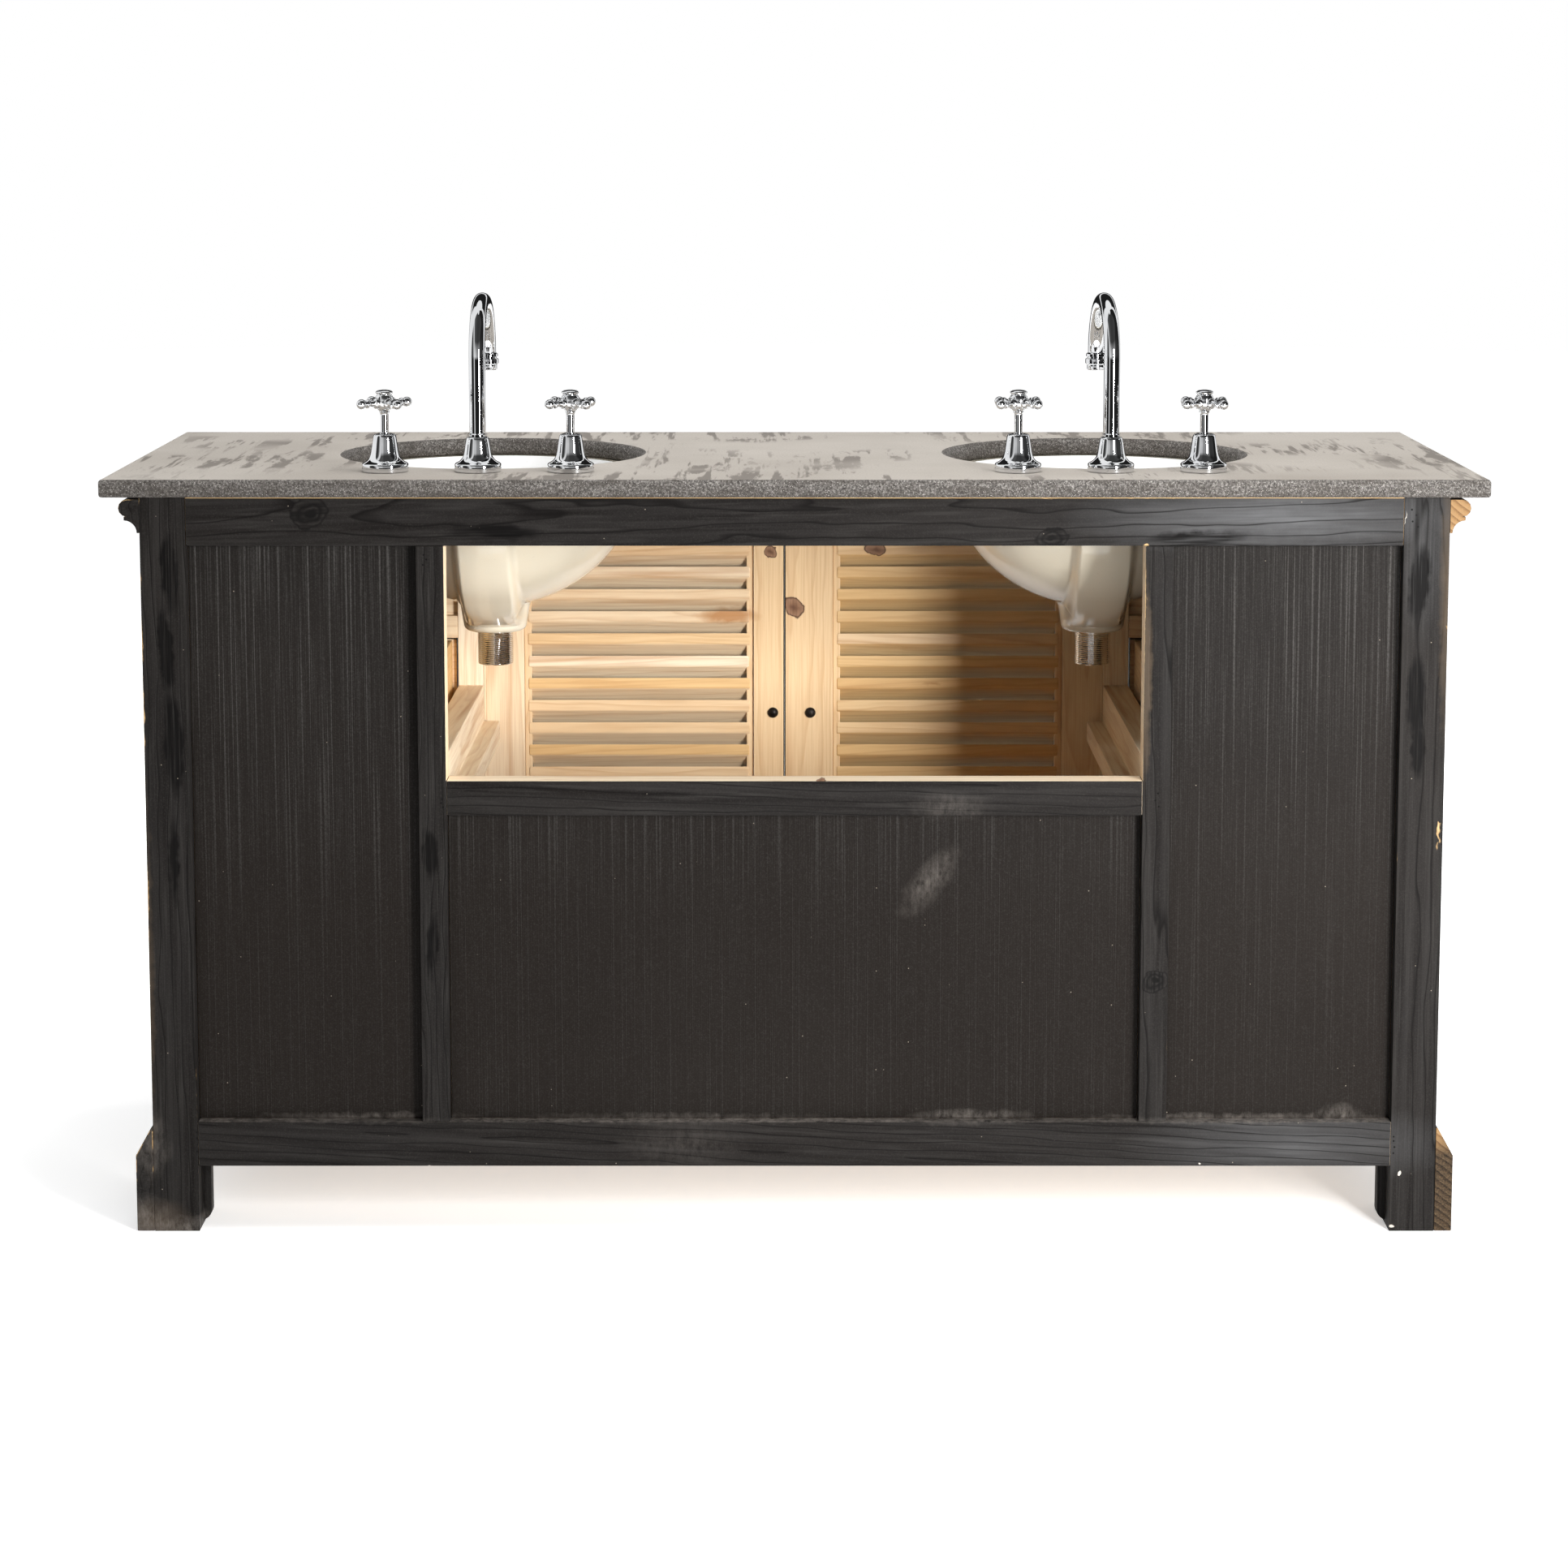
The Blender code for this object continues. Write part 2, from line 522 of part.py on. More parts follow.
def make_panels():
    """Thin rear panels, sides with a sunk field, and the cabinet floor."""
    for side, sign in SIDES.items():
        low, high = (PANEL_FRONT, SILL + SEAT), (PANEL_BACK, HEAD - SEAT)
        side_box(f"rear_panel_{side}", sign, BANK_INNER + SEAT, BANK_OUTER - SEAT, low, high, PAINTED)
        low, high = (FRONT + POST_DEPTH + SEAT, FOOT_HEIGHT), (REAR - POST_DEPTH - SEAT, UNDER_TOP - SEAT)
        inner = BODY_HALF - SIDE_THICKNESS
        panel = side_box(f"side_panel_{side}", sign, inner, BODY_HALF, low, high, PAINTED)
        low, high = (FRONT, FOOT_HEIGHT + SIDE_RAIL_HEIGHT), (REAR, UNDER_TOP - SIDE_RAIL_HEIGHT)
        depths = (BODY_HALF - SIDE_RECESS, BODY_HALF + SIDE_RECESS)
        combine(panel, side_box("sunk_field", sign, *depths, low, high, PAINTED), "DIFFERENCE")
    inner, span = DOOR_HALF - SEAT, BANK_OUTER - SEAT
    low, high = (-inner, PANEL_FRONT, SILL + SEAT), (inner, PANEL_BACK, MIDDLE_RAIL_UNDER - SEAT)
    box("rear_panel_lower", low, high, PAINTED)
    low, high = (-span, FRONT_INNER + SEAT, SILL - FLOOR_THICKNESS), (span, REAR_INNER - SEAT, SILL)
    box("floor_board", low, high, RAW)


def make_partition(side, sign):
    """A rail from front to rear stile beside the door opening, with a cleat low on its inner face."""
    top = HEAD - PARTITION_DROP
    under = top - PARTITION_RAIL_HEIGHT
    cleat_top = top - CLEAT_DROP
    cleat_under = cleat_top - CLEAT_HEIGHT
    inner, back = DOOR_HALF - CLEAT_WIDTH, DOOR_HALF + STILE_WIDTH / 2
    outline = [(BANK_INNER, top), (DOOR_HALF, top), (DOOR_HALF, cleat_top), (inner, cleat_top)]
    outline += [(inner, cleat_under), (back, cleat_under), (back, under), (BANK_INNER, under)]
    outline = [(sign * x, z) for x, z in outline]
    prism(f"partition_rail_{side}", outline, 1, FRONT_INNER + SEAT, REAR_INNER - SEAT, RAW)


def make_bank_frame(side, sign):
    """The fixed front above the drawers, and the web frame that the upper drawer runs on."""
    inner, outer = BANK_INNER + SEAT, BANK_OUTER - SEAT
    ledge, back = DIVIDER_UNDER + DIVIDER_HEIGHT, FRONT + APRON_THICKNESS
    outline = [(FRONT, DIVIDER_UNDER), (FRONT_INNER, DIVIDER_UNDER), (FRONT_INNER, ledge), (back, ledge)]
    outline += [(back, HEAD - SEAT), (FRONT, HEAD - SEAT)]
    prism(f"apron_{side}", outline, 0, sign * inner, sign * outer, PAINTED)
    rear = PANEL_FRONT - SEAT
    web = side_box(f"drawer_web_{side}", sign, inner, outer, (FRONT, WEB_UNDER), (rear, WEB_TOP), RAW)
    low, high = (FRONT_INNER, WEB_UNDER - WEB_THICKNESS), (rear - FRAME_THICKNESS, WEB_TOP + WEB_THICKNESS)
    hole = side_box("hole", sign, inner + RUNNER_WIDTH, outer - RUNNER_WIDTH, low, high, RAW)
    combine(web, hole, "DIFFERENCE")


def bridge(shape, rings):
    """Faces between matching rings of points, with a cap on the first and the last ring."""
    count = len(rings[0])
    for first, second in zip(rings, rings[1:]):
        for i in range(count):
            after = (i + 1) % count
            shape.faces.new((first[i], first[after], second[after], second[i]))
    shape.faces.new(list(reversed(rings[0])))
    shape.faces.new(rings[-1])


def mitred(name, profile, material):
    """A moulding round the left side, the front and the right side. The profile is (projection, height)."""
    corners = [(-BODY_HALF, REAR, -1, 0), (-BODY_HALF, FRONT, -1, -1)]
    corners += [(BODY_HALF, FRONT, 1, -1), (BODY_HALF, REAR, 1, 0)]
    shape = bmesh.new()
    rings = []
    for x, y, out_x, out_y in corners:
        rings.append([shape.verts.new((x + out_x * p, y + out_y * p, z)) for p, z in profile])
    bridge(shape, rings)
    return add_object(name, shape, material)


def bracket_cut(low, high):
    """The outline cut out between two bracket feet: rounded upper corners, open downwards."""
    level = BRACKET_HEIGHT - BRACKET_RADIUS
    left = arc((low + BRACKET_RADIUS, level), BRACKET_RADIUS, 180, 90)
    right = arc((high - BRACKET_RADIUS, level), BRACKET_RADIUS, 90, 0)
    return [(low, -BRACKET_HEIGHT)] + left + right + [(high, -BRACKET_HEIGHT)]


def make_crown():
    """From the top down: a half-round nose, a fillet and a cove that dies into the cabinet."""
    top = UNDER_TOP - CROWN_BELOW_TOP
    nose_x, under_nose = CROWN_PROJECTION - CROWN_NOSE, top - 2 * CROWN_NOSE
    cove_x, cove_top = CROWN_PROJECTION - CROWN_STEP, under_nose - CROWN_FILLET
    cove = cove_x - CROWN_FOOT
    profile = [(SEAT, top)] + arc((nose_x, top - CROWN_NOSE), CROWN_NOSE, 90, -90)
    profile += [(cove_x, under_nose)] + arc((cove_x, cove_top - cove), cove, 90, 180)
    profile += [(SEAT, cove_top - cove)]
    mitred("crown_moulding", profile, PAINTED)


def make_plinth():
    """A chamfered skirting with bracket feet, round the front and the sides."""
    shoulder = PLINTH_HEIGHT - PLINTH_CHAMFER
    profile = [(SEAT, 0.0), (SEAT, PLINTH_HEIGHT), (SEAT + PLINTH_LIP, PLINTH_HEIGHT)]
    profile += [(PLINTH_PROJECTION, shoulder), (PLINTH_PROJECTION, 0.0)]
    plinth = mitred("plinth", profile, PAINTED)
    reach = 2 * PLINTH_PROJECTION
    outline = bracket_cut(BRACKET_LENGTH - BODY_HALF, BODY_HALF - BRACKET_LENGTH)
    combine(plinth, prism("front_cut", outline, 1, FRONT - reach, FRONT + reach, PAINTED), "DIFFERENCE")
    outline = bracket_cut(FRONT + BRACKET_LENGTH, REAR - BRACKET_LENGTH)
    for sign in SIDES.values():
        start, end = sign * (BODY_HALF - reach), sign * (BODY_HALF + reach)
        combine(plinth, prism("side_cut", outline, 0, start, end, PAINTED), "DIFFERENCE")


def knob(name, place, thickness):
    """A turned knob at the front of a board, its shank through the board and a domed head behind."""
    back = -thickness - SEAT
    half = KNOB_BUN / 2
    bun = [math.radians(angle) for angle in (0, 35, 65, 95, 125)]
    profile = [(KNOB_RADIUS * math.sin(a), KNOB_LENGTH - half + half * math.cos(a)) for a in bun]
    profile += [(KNOB_NECK_RADIUS, KNOB_LENGTH - KNOB_BUN), (KNOB_NECK_RADIUS, SEAT + KNOB_FOOT)]
    profile += [(KNOB_FOOT_RADIUS, SEAT), (KNOB_SHANK_RADIUS, SEAT), (KNOB_SHANK_RADIUS, back)]
    for angle in (0, 45, 90):
        turn = math.radians(angle)
        profile.append((KNOB_HEAD_RADIUS * math.cos(turn), back - KNOB_HEAD_HEIGHT * math.sin(turn)))
    profile[-1] = (0, back - KNOB_HEAD_HEIGHT)
    return turned(name, profile, KNOB_STEPS, IRON, place, "Y")


def knob_hole(board, place, depth):
    """Bores a board from its front face at place, a little past its back."""
    radius = KNOB_SHANK_RADIUS + KNOB_HOLE_CLEARANCE
    profile = [(0, depth / 2), (radius, depth / 2), (radius, -depth * 1.5), (0, -depth * 1.5)]
    combine(board, turned("knob_hole", profile, ARM_STEPS, RAW, place, "Y"), "DIFFERENCE")


def slat(shape, ends, near, far, top, drop):
    """One louvre slat between two ends: plumb edges front and back, falling by drop to the front."""
    outline = [(far, top), (far, top - SLAT_EDGE), (near, top - SLAT_EDGE - drop), (near, top - drop)]
    bridge(shape, [[shape.verts.new((x, y, z)) for y, z in outline] for x in ends])


def make_door(side, sign):
    """An inset louvre door. Its slats fall towards the front, and their ends run into the stiles."""
    if side == "left":
        low_x, high_x = SWING - DOOR_HALF, DOOR_SPLIT - SWING / 2
        field_x = (low_x + DOOR_STILE_WIDTH, high_x - DOOR_STILE_WIDTH - DOOR_SPLIT)
    else:
        low_x, high_x = DOOR_SPLIT + SWING / 2, DOOR_HALF - SWING
        field_x = (low_x + DOOR_STILE_WIDTH - DOOR_SPLIT, high_x - DOOR_STILE_WIDTH)
    low_z, high_z = SILL + SWING, HEAD - SWING
    back = FRONT + DOOR_THICKNESS
    field_z = (low_z + DOOR_RAIL_WIDTH, high_z - DOOR_RAIL_WIDTH)
    door = box(f"door_{side}", (low_x, FRONT, low_z), (high_x, back, high_z), RAW)
    low = (field_x[0], FRONT - DOOR_THICKNESS, field_z[0])
    high = (field_x[1], back + DOOR_THICKNESS, field_z[1])
    combine(door, box("field", low, high, RAW), "DIFFERENCE")

    near, far = FRONT + SLAT_INSET, back - SLAT_INSET
    drop = (far - near) * math.tan(SLAT_SLOPE)
    ends = (field_x[0] - SLAT_TENON, field_x[1] + SLAT_TENON)
    slats = bmesh.new()
    top = field_z[1] + SEAT
    while top - SLAT_EDGE > field_z[0]:
        slat(slats, ends, near, far, top, drop)
        top -= SLAT_PITCH
    combine(door, add_object("slats", slats, RAW), "UNION")

    knob_x = DOOR_SPLIT + SWING / 2 + KNOB_RADIUS + DOOR_KNOB_CLEARANCE
    if side == "left":
        knob_x -= DOOR_KNOB_GAUGE
    place = (knob_x, FRONT, low_z + DOOR_KNOB_RISE)
    knob_hole(door, place, DOOR_THICKNESS)
    put_origin(door, (sign * HINGE_X, HINGE_Y, low_z))
    attach(knob(f"door_knob_{side}", place, DOOR_THICKNESS), door)
    make_hinge(f"hinge_lower_{side}", sign, low_z + HINGE_END_SPACE)
    make_hinge(f"hinge_upper_{side}", sign, high_z - HINGE_END_SPACE - HINGE_LENGTH)


def make_hinge(name, sign, low):
    """A butt hinge: its barrel in front of the door's edge, its leaf on the stile's inner face."""
    high = low + HINGE_LENGTH
    tip = HINGE_RADIUS / 2
    profile = [(0, high + HINGE_TIP), (tip, high), (HINGE_RADIUS, high), (HINGE_RADIUS, low), (tip, low)]
    profile += [(0, low - HINGE_TIP)]
    hinge = turned(name, profile, TAP_STEPS, IRON, (sign * HINGE_X, HINGE_Y, 0))
    inner, outer = DOOR_HALF - SWING + HINGE_LEAF_PLAY, DOOR_HALF - SEAT
    leaf = side_box("leaf", sign, inner, outer, (HINGE_Y, low), (FRONT + HINGE_LEAF_DEPTH, high), IRON)
    combine(hinge, leaf, "UNION")


def make_drawer(side, sign, level, opening_low):
    """An inset drawer: a front, two sides, a back and a bottom, with its knob in the middle of the front."""
    opening_high = opening_low + DRAWER_OPENING_HEIGHT
    behind_front, rear = FRONT + DRAWER_FRONT_THICKNESS, PANEL_FRONT - DRAWER_BACK_PLAY
    low, high = (FRONT, opening_low + SWING), (behind_front, opening_high - SWING)
    name, edges = f"drawer_{level}_{side}", (BANK_INNER + SWING, BANK_OUTER - SWING)
    drawer = side_box(name, sign, *edges, low, high, PAINTED)
    inner, outer = BANK_INNER + DRAWER_SIDE_PLAY, BANK_OUTER - DRAWER_SIDE_PLAY
    start = FRONT + DRAWER_FRONT_THICKNESS / 2
    low, high = (start, opening_low + SEAT), (rear, opening_high - DRAWER_TOP_PLAY)
    combine(drawer, side_box("walls", sign, inner, outer, low, high, RAW), "UNION")
    low = (behind_front, opening_low + SEAT + DRAWER_BOTTOM)
    high = (rear - DRAWER_WALL, opening_high)
    hollow = side_box("hollow", sign, inner + DRAWER_WALL, outer - DRAWER_WALL, low, high, RAW)
    combine(drawer, hollow, "DIFFERENCE")
    place = (sign * (BANK_INNER + BANK_OUTER) / 2, FRONT, opening_low + DRAWER_OPENING_HEIGHT / 2)
    knob_hole(drawer, place, DRAWER_FRONT_THICKNESS)
    put_origin(drawer, place)
    attach(knob(f"drawer_knob_{level}_{side}", place, DRAWER_FRONT_THICKNESS), drawer)


def main():
    make_stone_top()
    make_posts()
    make_rails()
    make_panels()
    make_crown()
    make_plinth()
    for side, sign in SIDES.items():
        floor, boss_under = make_basin(side, sign)
        make_waste(side, sign, floor, boss_under)
        make_taps(side, sign)
        make_partition(side, sign)
        make_bank_frame(side, sign)
        make_door(side, sign)
        make_drawer(side, sign, "lower", SILL)
        make_drawer(side, sign, "upper", WEB_TOP)


remove_everything()
main()
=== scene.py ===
"""Looks of the double bathroom vanity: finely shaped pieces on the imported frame, with procedural materials.

Metres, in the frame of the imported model: the front faces -Y, and the photographed plumbing side faces +Y.
"""

import math
import random

import bmesh
import bpy
from mathutils import Matrix, Vector


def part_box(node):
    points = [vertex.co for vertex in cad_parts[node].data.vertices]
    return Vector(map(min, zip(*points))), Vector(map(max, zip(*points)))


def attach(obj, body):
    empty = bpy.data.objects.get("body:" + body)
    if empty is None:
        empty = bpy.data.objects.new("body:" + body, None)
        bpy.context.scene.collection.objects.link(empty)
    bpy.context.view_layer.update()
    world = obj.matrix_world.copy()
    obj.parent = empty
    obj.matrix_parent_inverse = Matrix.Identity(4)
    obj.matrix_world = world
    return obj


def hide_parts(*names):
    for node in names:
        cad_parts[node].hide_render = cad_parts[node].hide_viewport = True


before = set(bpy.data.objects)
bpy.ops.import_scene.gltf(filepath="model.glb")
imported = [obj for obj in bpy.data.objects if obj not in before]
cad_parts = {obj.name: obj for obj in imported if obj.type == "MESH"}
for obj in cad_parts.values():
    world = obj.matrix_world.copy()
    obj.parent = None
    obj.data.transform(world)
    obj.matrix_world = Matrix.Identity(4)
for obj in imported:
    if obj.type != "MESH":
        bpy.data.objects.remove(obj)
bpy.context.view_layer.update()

# Camera, fitted to the photographed edges of the stone, the rear window and the feet
CAMERA_PLACE = (0.0116, 3.98, 1.257)
CAMERA_PITCH = math.radians(6.9)
CAMERA_LENS = 78.45
CAMERA_SENSOR = 36.0
CAMERA_SHIFT = (0.0, -0.17)

# Wood
EASED_EDGE = 0.0011
WORN_BAND = 0.006
SHARP = math.radians(30)
FLAT = math.radians(1)
SMOOTH = math.radians(38)
TINY = 1e-6
PAINT, BARE, PANEL, END = range(4)
END_GRAIN_FROM = 0.2

# Louvre doors
DOOR_STILE = 0.057
DOOR_RAIL = 0.057
DOOR_WEAR = 0.66
DOOR_TONES = (0.48, 0.66)
MEETING_TONES = (0.50, 0.62)
HUNG_TONES = (0.05, 0.20)
FIELD_HALF_GAP = 0.05825
STRIP_WIDTH = 0.009
STRIP_RECESS = 0.0035
STRIP_OVERLAP = 0.002
JOINT_SEAM = 0.0002
SEAM_AHEAD = 0.00001
SEAM_BEHIND = 0.0012
MEETING_EDGE = 0.0006
HUNG_GAP = 0.0004
HUNG_EDGE = 0.0003
HINGE_GAP = 0.0005
SLAT_PITCH = 0.028
SLAT_EDGE = 0.014
SLAT_RECESS = 0.002
SLAT_TENON = 0.004
SLAT_STRAY = 0.0008
SLAT_ROUND = 0.0022
SLAT_BAND = 0.002
SLAT_WEAR = 0.5
# Painted shade, in part: the left door's slats get darker, more golden tones, partly their own wood and
# partly the shade that falls over that door
SLAT_TONES_WITH_SHADE = {"left": (0.35, 1.0), "right": (0.0, 0.85)}
# Painted shade: slat undersides get a tone of their own, set per door, darkest and most golden on the left
# door, standing in for shade and light bounced between the slats
SLAT_UNDERSIDE_SHADE = {"left": 0.7, "right": 0.25}

# Drawers
DRAWER_FRONT = 0.020
DRAWER_WALL = 0.012
DRAWER_BOTTOM = 0.008
DRAWER_BOTTOM_RISE = 0.002
DRAWER_BACK_DROP = 0.006
DRAWER_SIDE_GAP = 0.0055
DRAWER_FOOT_GAP = 0.0022
DRAWER_TOP_GAP = 0.0015
DRAWER_SEAM = 0.0001

# Iron. Profile points are (radius, distance from the knob's front or the hinge's end).
KNOB_SIDES = 28
KNOB_HALF = 0.0085
KNOB_NECK = [(0.0065, 0.0175), (0.0057, 0.0215), (0.0065, 0.0245), (0.0092, 0.0262), (0.0095, 0.0276)]
KNOB_SCREW = 0.003
KNOB_SCREW_FROM = 0.0278
SCREW_HEAD = 0.0066
SCREW_DOME = 0.004
SCREW_SLOT = 0.0006
HINGE_AXIS = 0.38375
HINGE_BARREL = 0.005
HINGE_KNUCKLES = 5
HINGE_LEAF = (0.3829, 0.3847)
HINGE_TIP = [(0.0, 0.0), (0.0016, 0.0004), (0.0026, 0.0015), (0.0018, 0.003), (0.003, 0.004)]

# Stone and ceramic
STONE_EDGE = 0.0035
CUTOUT_EDGE = 0.008
CUTOUT_RADIUS = 0.173
TAP_HOLE_RADIUS = 0.011
CUTTER_REACH = 0.02
BOWL_RADIUS = 0.172
BOWL_DEPTH = 0.160
BOWL_WALL = 0.010
RIM_THICKNESS = 0.012
RIM_ROUND = 0.002
BOSS_RADIUS = 0.041
BOSS_FLARE = 0.005
BOSS_ROUND = 0.008
BOSS_TAPER = 0.0035
NECK_DROP = 0.006
RIB_SHOULDER = (0.028, 0.037)
RIB_DEPTH = 0.015
RIB_BRIDGE = 9
RIB_SAG = 0.004
DRAIN_RADIUS = 0.034
DRAIN_HOLE = 0.0215
GLAZE_SMOOTH = math.radians(50)

# Metal. Profile points are (radius, drop from the top), or as named.
WASTE_RADIUS = 0.0209
WASTE_BORE = 0.0175
WASTE_FLANGE = 0.003
WASTE_BAR = (0.018, 0.002)
THREAD_PITCH = 0.0023
THREAD_DEPTH = 0.0006
THREAD_START = 0.006
THREAD_FADE = 0.004
THREAD_END = 0.0016
THREAD_SIDES = 48
THREAD_ROWS = 8
ROUND_STEPS = 48
BELL_SHOULDER = [(0.0, 0.0), (0.0092, 0.0), (0.0110, 0.0005), (0.0121, 0.0016), (0.0127, 0.0034)]
BELL_CONE_SHARES = [(0.0138, 0.24), (0.0151, 0.46), (0.0163, 0.57)]
BELL_FLARE_RISES = [(0.0180, 0.0143), (0.0200, 0.0121), (0.0224, 0.0105), (0.0244, 0.0096)]
FLANGE_INSETS = [
    (0.0006, 0.0088), (0.0, 0.0078), (0.0, 0.0050), (0.0007, 0.0046), (0.0007, 0.0041), (0.0, 0.0037),
    (0.0, 0.0006), (0.0006, 0.0),
]
SHANK = 0.010
BACKNUT = 0.0165
BACKNUT_HEIGHT = 0.009
DECK_GAP = 0.0003
HANDLE_HUB = [
    (0.0, 0.0), (0.0040, 0.0002), (0.0074, 0.0009), (0.0093, 0.0020), (0.0098, 0.0031), (0.0094, 0.0041),
    (0.0080, 0.0048), (0.0080, 0.0057), (0.0092, 0.0072), (0.0103, 0.0098), (0.0107, 0.0130),
    (0.0103, 0.0165), (0.0091, 0.0198), (0.0072, 0.0224), (0.0056, 0.0240), (0.0058, 0.0252),
    (0.0048, 0.0262), (0.0045, 0.0280),
]
SPINDLE_RISES = [(0.0045, 0.0014), (0.0056, 0.0008), (0.0056, 0.0), (0.0, 0.0)]
ARM_DROP = 0.015
ARM_REACHES = [
    (0.0, 0.004), (0.0062, 0.004), (0.0062, 0.0108), (0.0056, 0.0120), (0.0040, 0.0132), (0.0034, 0.0160),
    (0.0034, 0.0190), (0.0040, 0.0204), (0.0050, 0.0210), (0.0050, 0.0222), (0.0036, 0.0230),
]
BALL_RADIUS = 0.0056
BALL_REACH = 0.0287
HANDLE_TURN = {"hot_left": 40, "cold_left": 44, "hot_right": 41, "cold_right": 36}
SPOUT_TUBE = 0.009
SPOUT_BEND = 0.063
SPOUT_BEND_STEPS = 40
SPOUT_SIDES = 32
SPOUT_COLLAR = [(0.0012, 0.0), (0.0012, 0.0022), (0.0, 0.0032)]
SPOUT_OUTLET = [
    (0.0102, 0.0008), (0.0112, 0.0016), (0.0112, 0.0044), (0.0096, 0.0052), (0.0096, 0.0062),
    (0.0116, 0.0072), (0.0120, 0.0082), (0.0120, 0.0124), (0.0112, 0.0134), (0.0100, 0.0142),
    (0.0100, 0.0192), (0.0094, 0.0200), (0.0078, 0.0200), (0.0076, 0.0170),
]
SPOUT_TURN = {"left": math.radians(3.0), "right": math.radians(-0.8)}

# Studio. Walls are (from, to, lowest, highest) in degrees, and lamps (place, target, size, watts).
FLOOR_RADIUS = 14.0
FLOOR_GAP = 0.0004
STUDIO_RADIUS = 5.6
WALL_STEPS = 48
WALLS = {"rear_wall": (15, 205, 2, 84), "front_wall": (235, 305, 2, 24), "front_sky": (215, 325, 30, 62)}
WALL_PANELS = [
    (0.07, 0.04), (0.16, 0.04), (0.24, 0.62), (0.36, 0.42), (0.56, 0.46), (0.63, 0.95), (0.80, 0.85),
    (0.88, 0.04),
]
WALL_RISE = [(0.15, 0.0), (0.23, 0.9), (0.42, 0.6), (0.60, 0.08)]
FLOOR_CARD = ((-1.4, 2.0), (3.0, 5.4), 0.02)
LAMPS = {
    "key": ((-1.30, 2.40, 1.02), (-0.05, 0.0, 0.62), (0.28, 1.3), 68.0),
    "side": ((-1.66, 2.26, 1.02), (-0.05, 0.0, 0.62), (0.50, 1.3), 62.0),
    "top": ((-0.2, 0.5, 3.1), (0.0, 0.0, 0.8), (1.8, 1.4), 65.0),
    "fill": ((2.7, 2.6, 1.5), (0.2, 0.0, 0.5), (1.4, 1.4), 2.0),
    "front": ((0.8, -3.6, 2.2), (0.0, 0.0, 0.5), (2.0, 1.4), 95.0),
    "left": ((3.4, -1.6, 1.6), (0.6, 0.0, 0.5), (1.4, 1.4), 45.0),
    "right": ((-3.4, -1.6, 1.6), (-0.6, 0.0, 0.5), (1.4, 1.4), 45.0),
}

SIDES = {"left": -1, "right": 1}
draw = random.Random(11)


def marks(depth, reach, *rows):
    """Marks at one Y, with one reach along Y. A row is X, Z, reach along X and Z, turn about Y, strength."""
    made = []
    for x, z, wide, tall, turn, strength in rows:
        made.append(((x, depth, z), (wide, reach, tall), turn, strength))
    return made


# Marks seen on the object, and patches of painted sheen
DUST = [
    *marks(0.251, 0.05, (-0.150, 0.398, 0.021, 0.055, math.radians(-38), 0.30)),
    *marks(
        0.265, 0.05,
        (-0.174, 0.484, 0.050, 0.020, 0.0, 0.20),
        (0.125, 0.100, 0.080, 0.034, 0.0, 0.10),
    ),
    *marks(
        0.253, 0.02,
        (-0.200, 0.128, 0.080, 0.010, 0.0, 0.50),
        (-0.612, 0.131, 0.032, 0.013, 0.0, 0.40),
        (-0.500, 0.127, 0.200, 0.006, 0.0, 0.45),
        (0.480, 0.128, 0.140, 0.006, 0.0, 0.35),
        (0.140, 0.127, 0.200, 0.006, 0.0, 0.30),
    ),
    *marks(
        0.262, 0.05,
        (0.730, 0.010, 0.040, 0.036, 0.0, 0.45),
        (0.690, 0.004, 0.060, 0.016, 0.0, 0.60),
        (0.725, 0.100, 0.030, 0.050, 0.0, 0.30),
    ),
]
RUBBED = [
    *marks(
        0.265, 0.03,
        (-0.7125, 0.457, 0.0045, 0.045, 0.03, 1.0),
        (-0.716, 0.690, 0.003, 0.030, 0.0, 0.6),
        (-0.386, 0.690, 0.006, 0.178, 0.0, 0.95),
        (0.720, 0.560, 0.009, 0.420, 0.0, 0.62),
        (-0.380, 0.830, 0.160, 0.006, 0.0, 0.9),
    ),
    *marks(
        0.262, 0.05,
        (0.735, 0.100, 0.040, 0.060, 0.0, 0.50),
        (0.735, 0.826, 0.036, 0.034, 0.0, 0.50),
    ),
    *marks(0.236, 0.05, (0.640, 0.100, 0.020, 0.030, 0.0, 0.8)),
]
CHIPS = [
    *marks(
        0.265, 0.01,
        (-0.678, 0.066, 0.0034, 0.0044, 0.0, 1.0),
        (-0.455, 0.078, 0.0018, 0.0018, 0.0, 1.0),
        (0.410, 0.073, 0.0022, 0.0022, 0.0, 1.0),
        (-0.668, 0.806, 0.0012, 0.0260, 0.0, 0.42),
    ),
    *marks(0.265, 0.02, (-0.672, 0.006, 0.0045, 0.0040, 0.0, 0.60)),
]
BROWNED = [
    *marks(
        0.268, 0.018,
        (-0.717, 0.720, 0.010, 0.180, 0.0, 0.6),
        (-0.386, 0.630, 0.009, 0.135, 0.0, 1.0),
        (0.720, 0.300, 0.008, 0.260, 0.0, 0.6),
    ),
    *marks(0.268, 0.030, (0.718, 0.010, 0.050, 0.030, 0.0, 0.5)),
]
# Painted sheen: pale bluish-grey patches on the right of the top rail, the bottom rail and the post, standing
# in for light glancing off the paint
PAINTED_SHEEN_MARKS = marks(
    0.265, 0.05,
    (-0.530, 0.806, 0.240, 0.045, 0.0, 0.9),
    (-0.560, 0.100, 0.200, 0.050, 0.0, 0.5),
    (-0.690, 0.780, 0.030, 0.120, 0.0, 0.3),
)
PAINT_KNOTS = marks(
    0.265, 0.05,
    (0.532, 0.812, 0.024, 0.020, 0.3, 1.0),
    (-0.282, 0.784, 0.022, 0.013, 0.2, 1.0),
    (-0.401, 0.287, 0.018, 0.015, 0.4, 1.0),
)
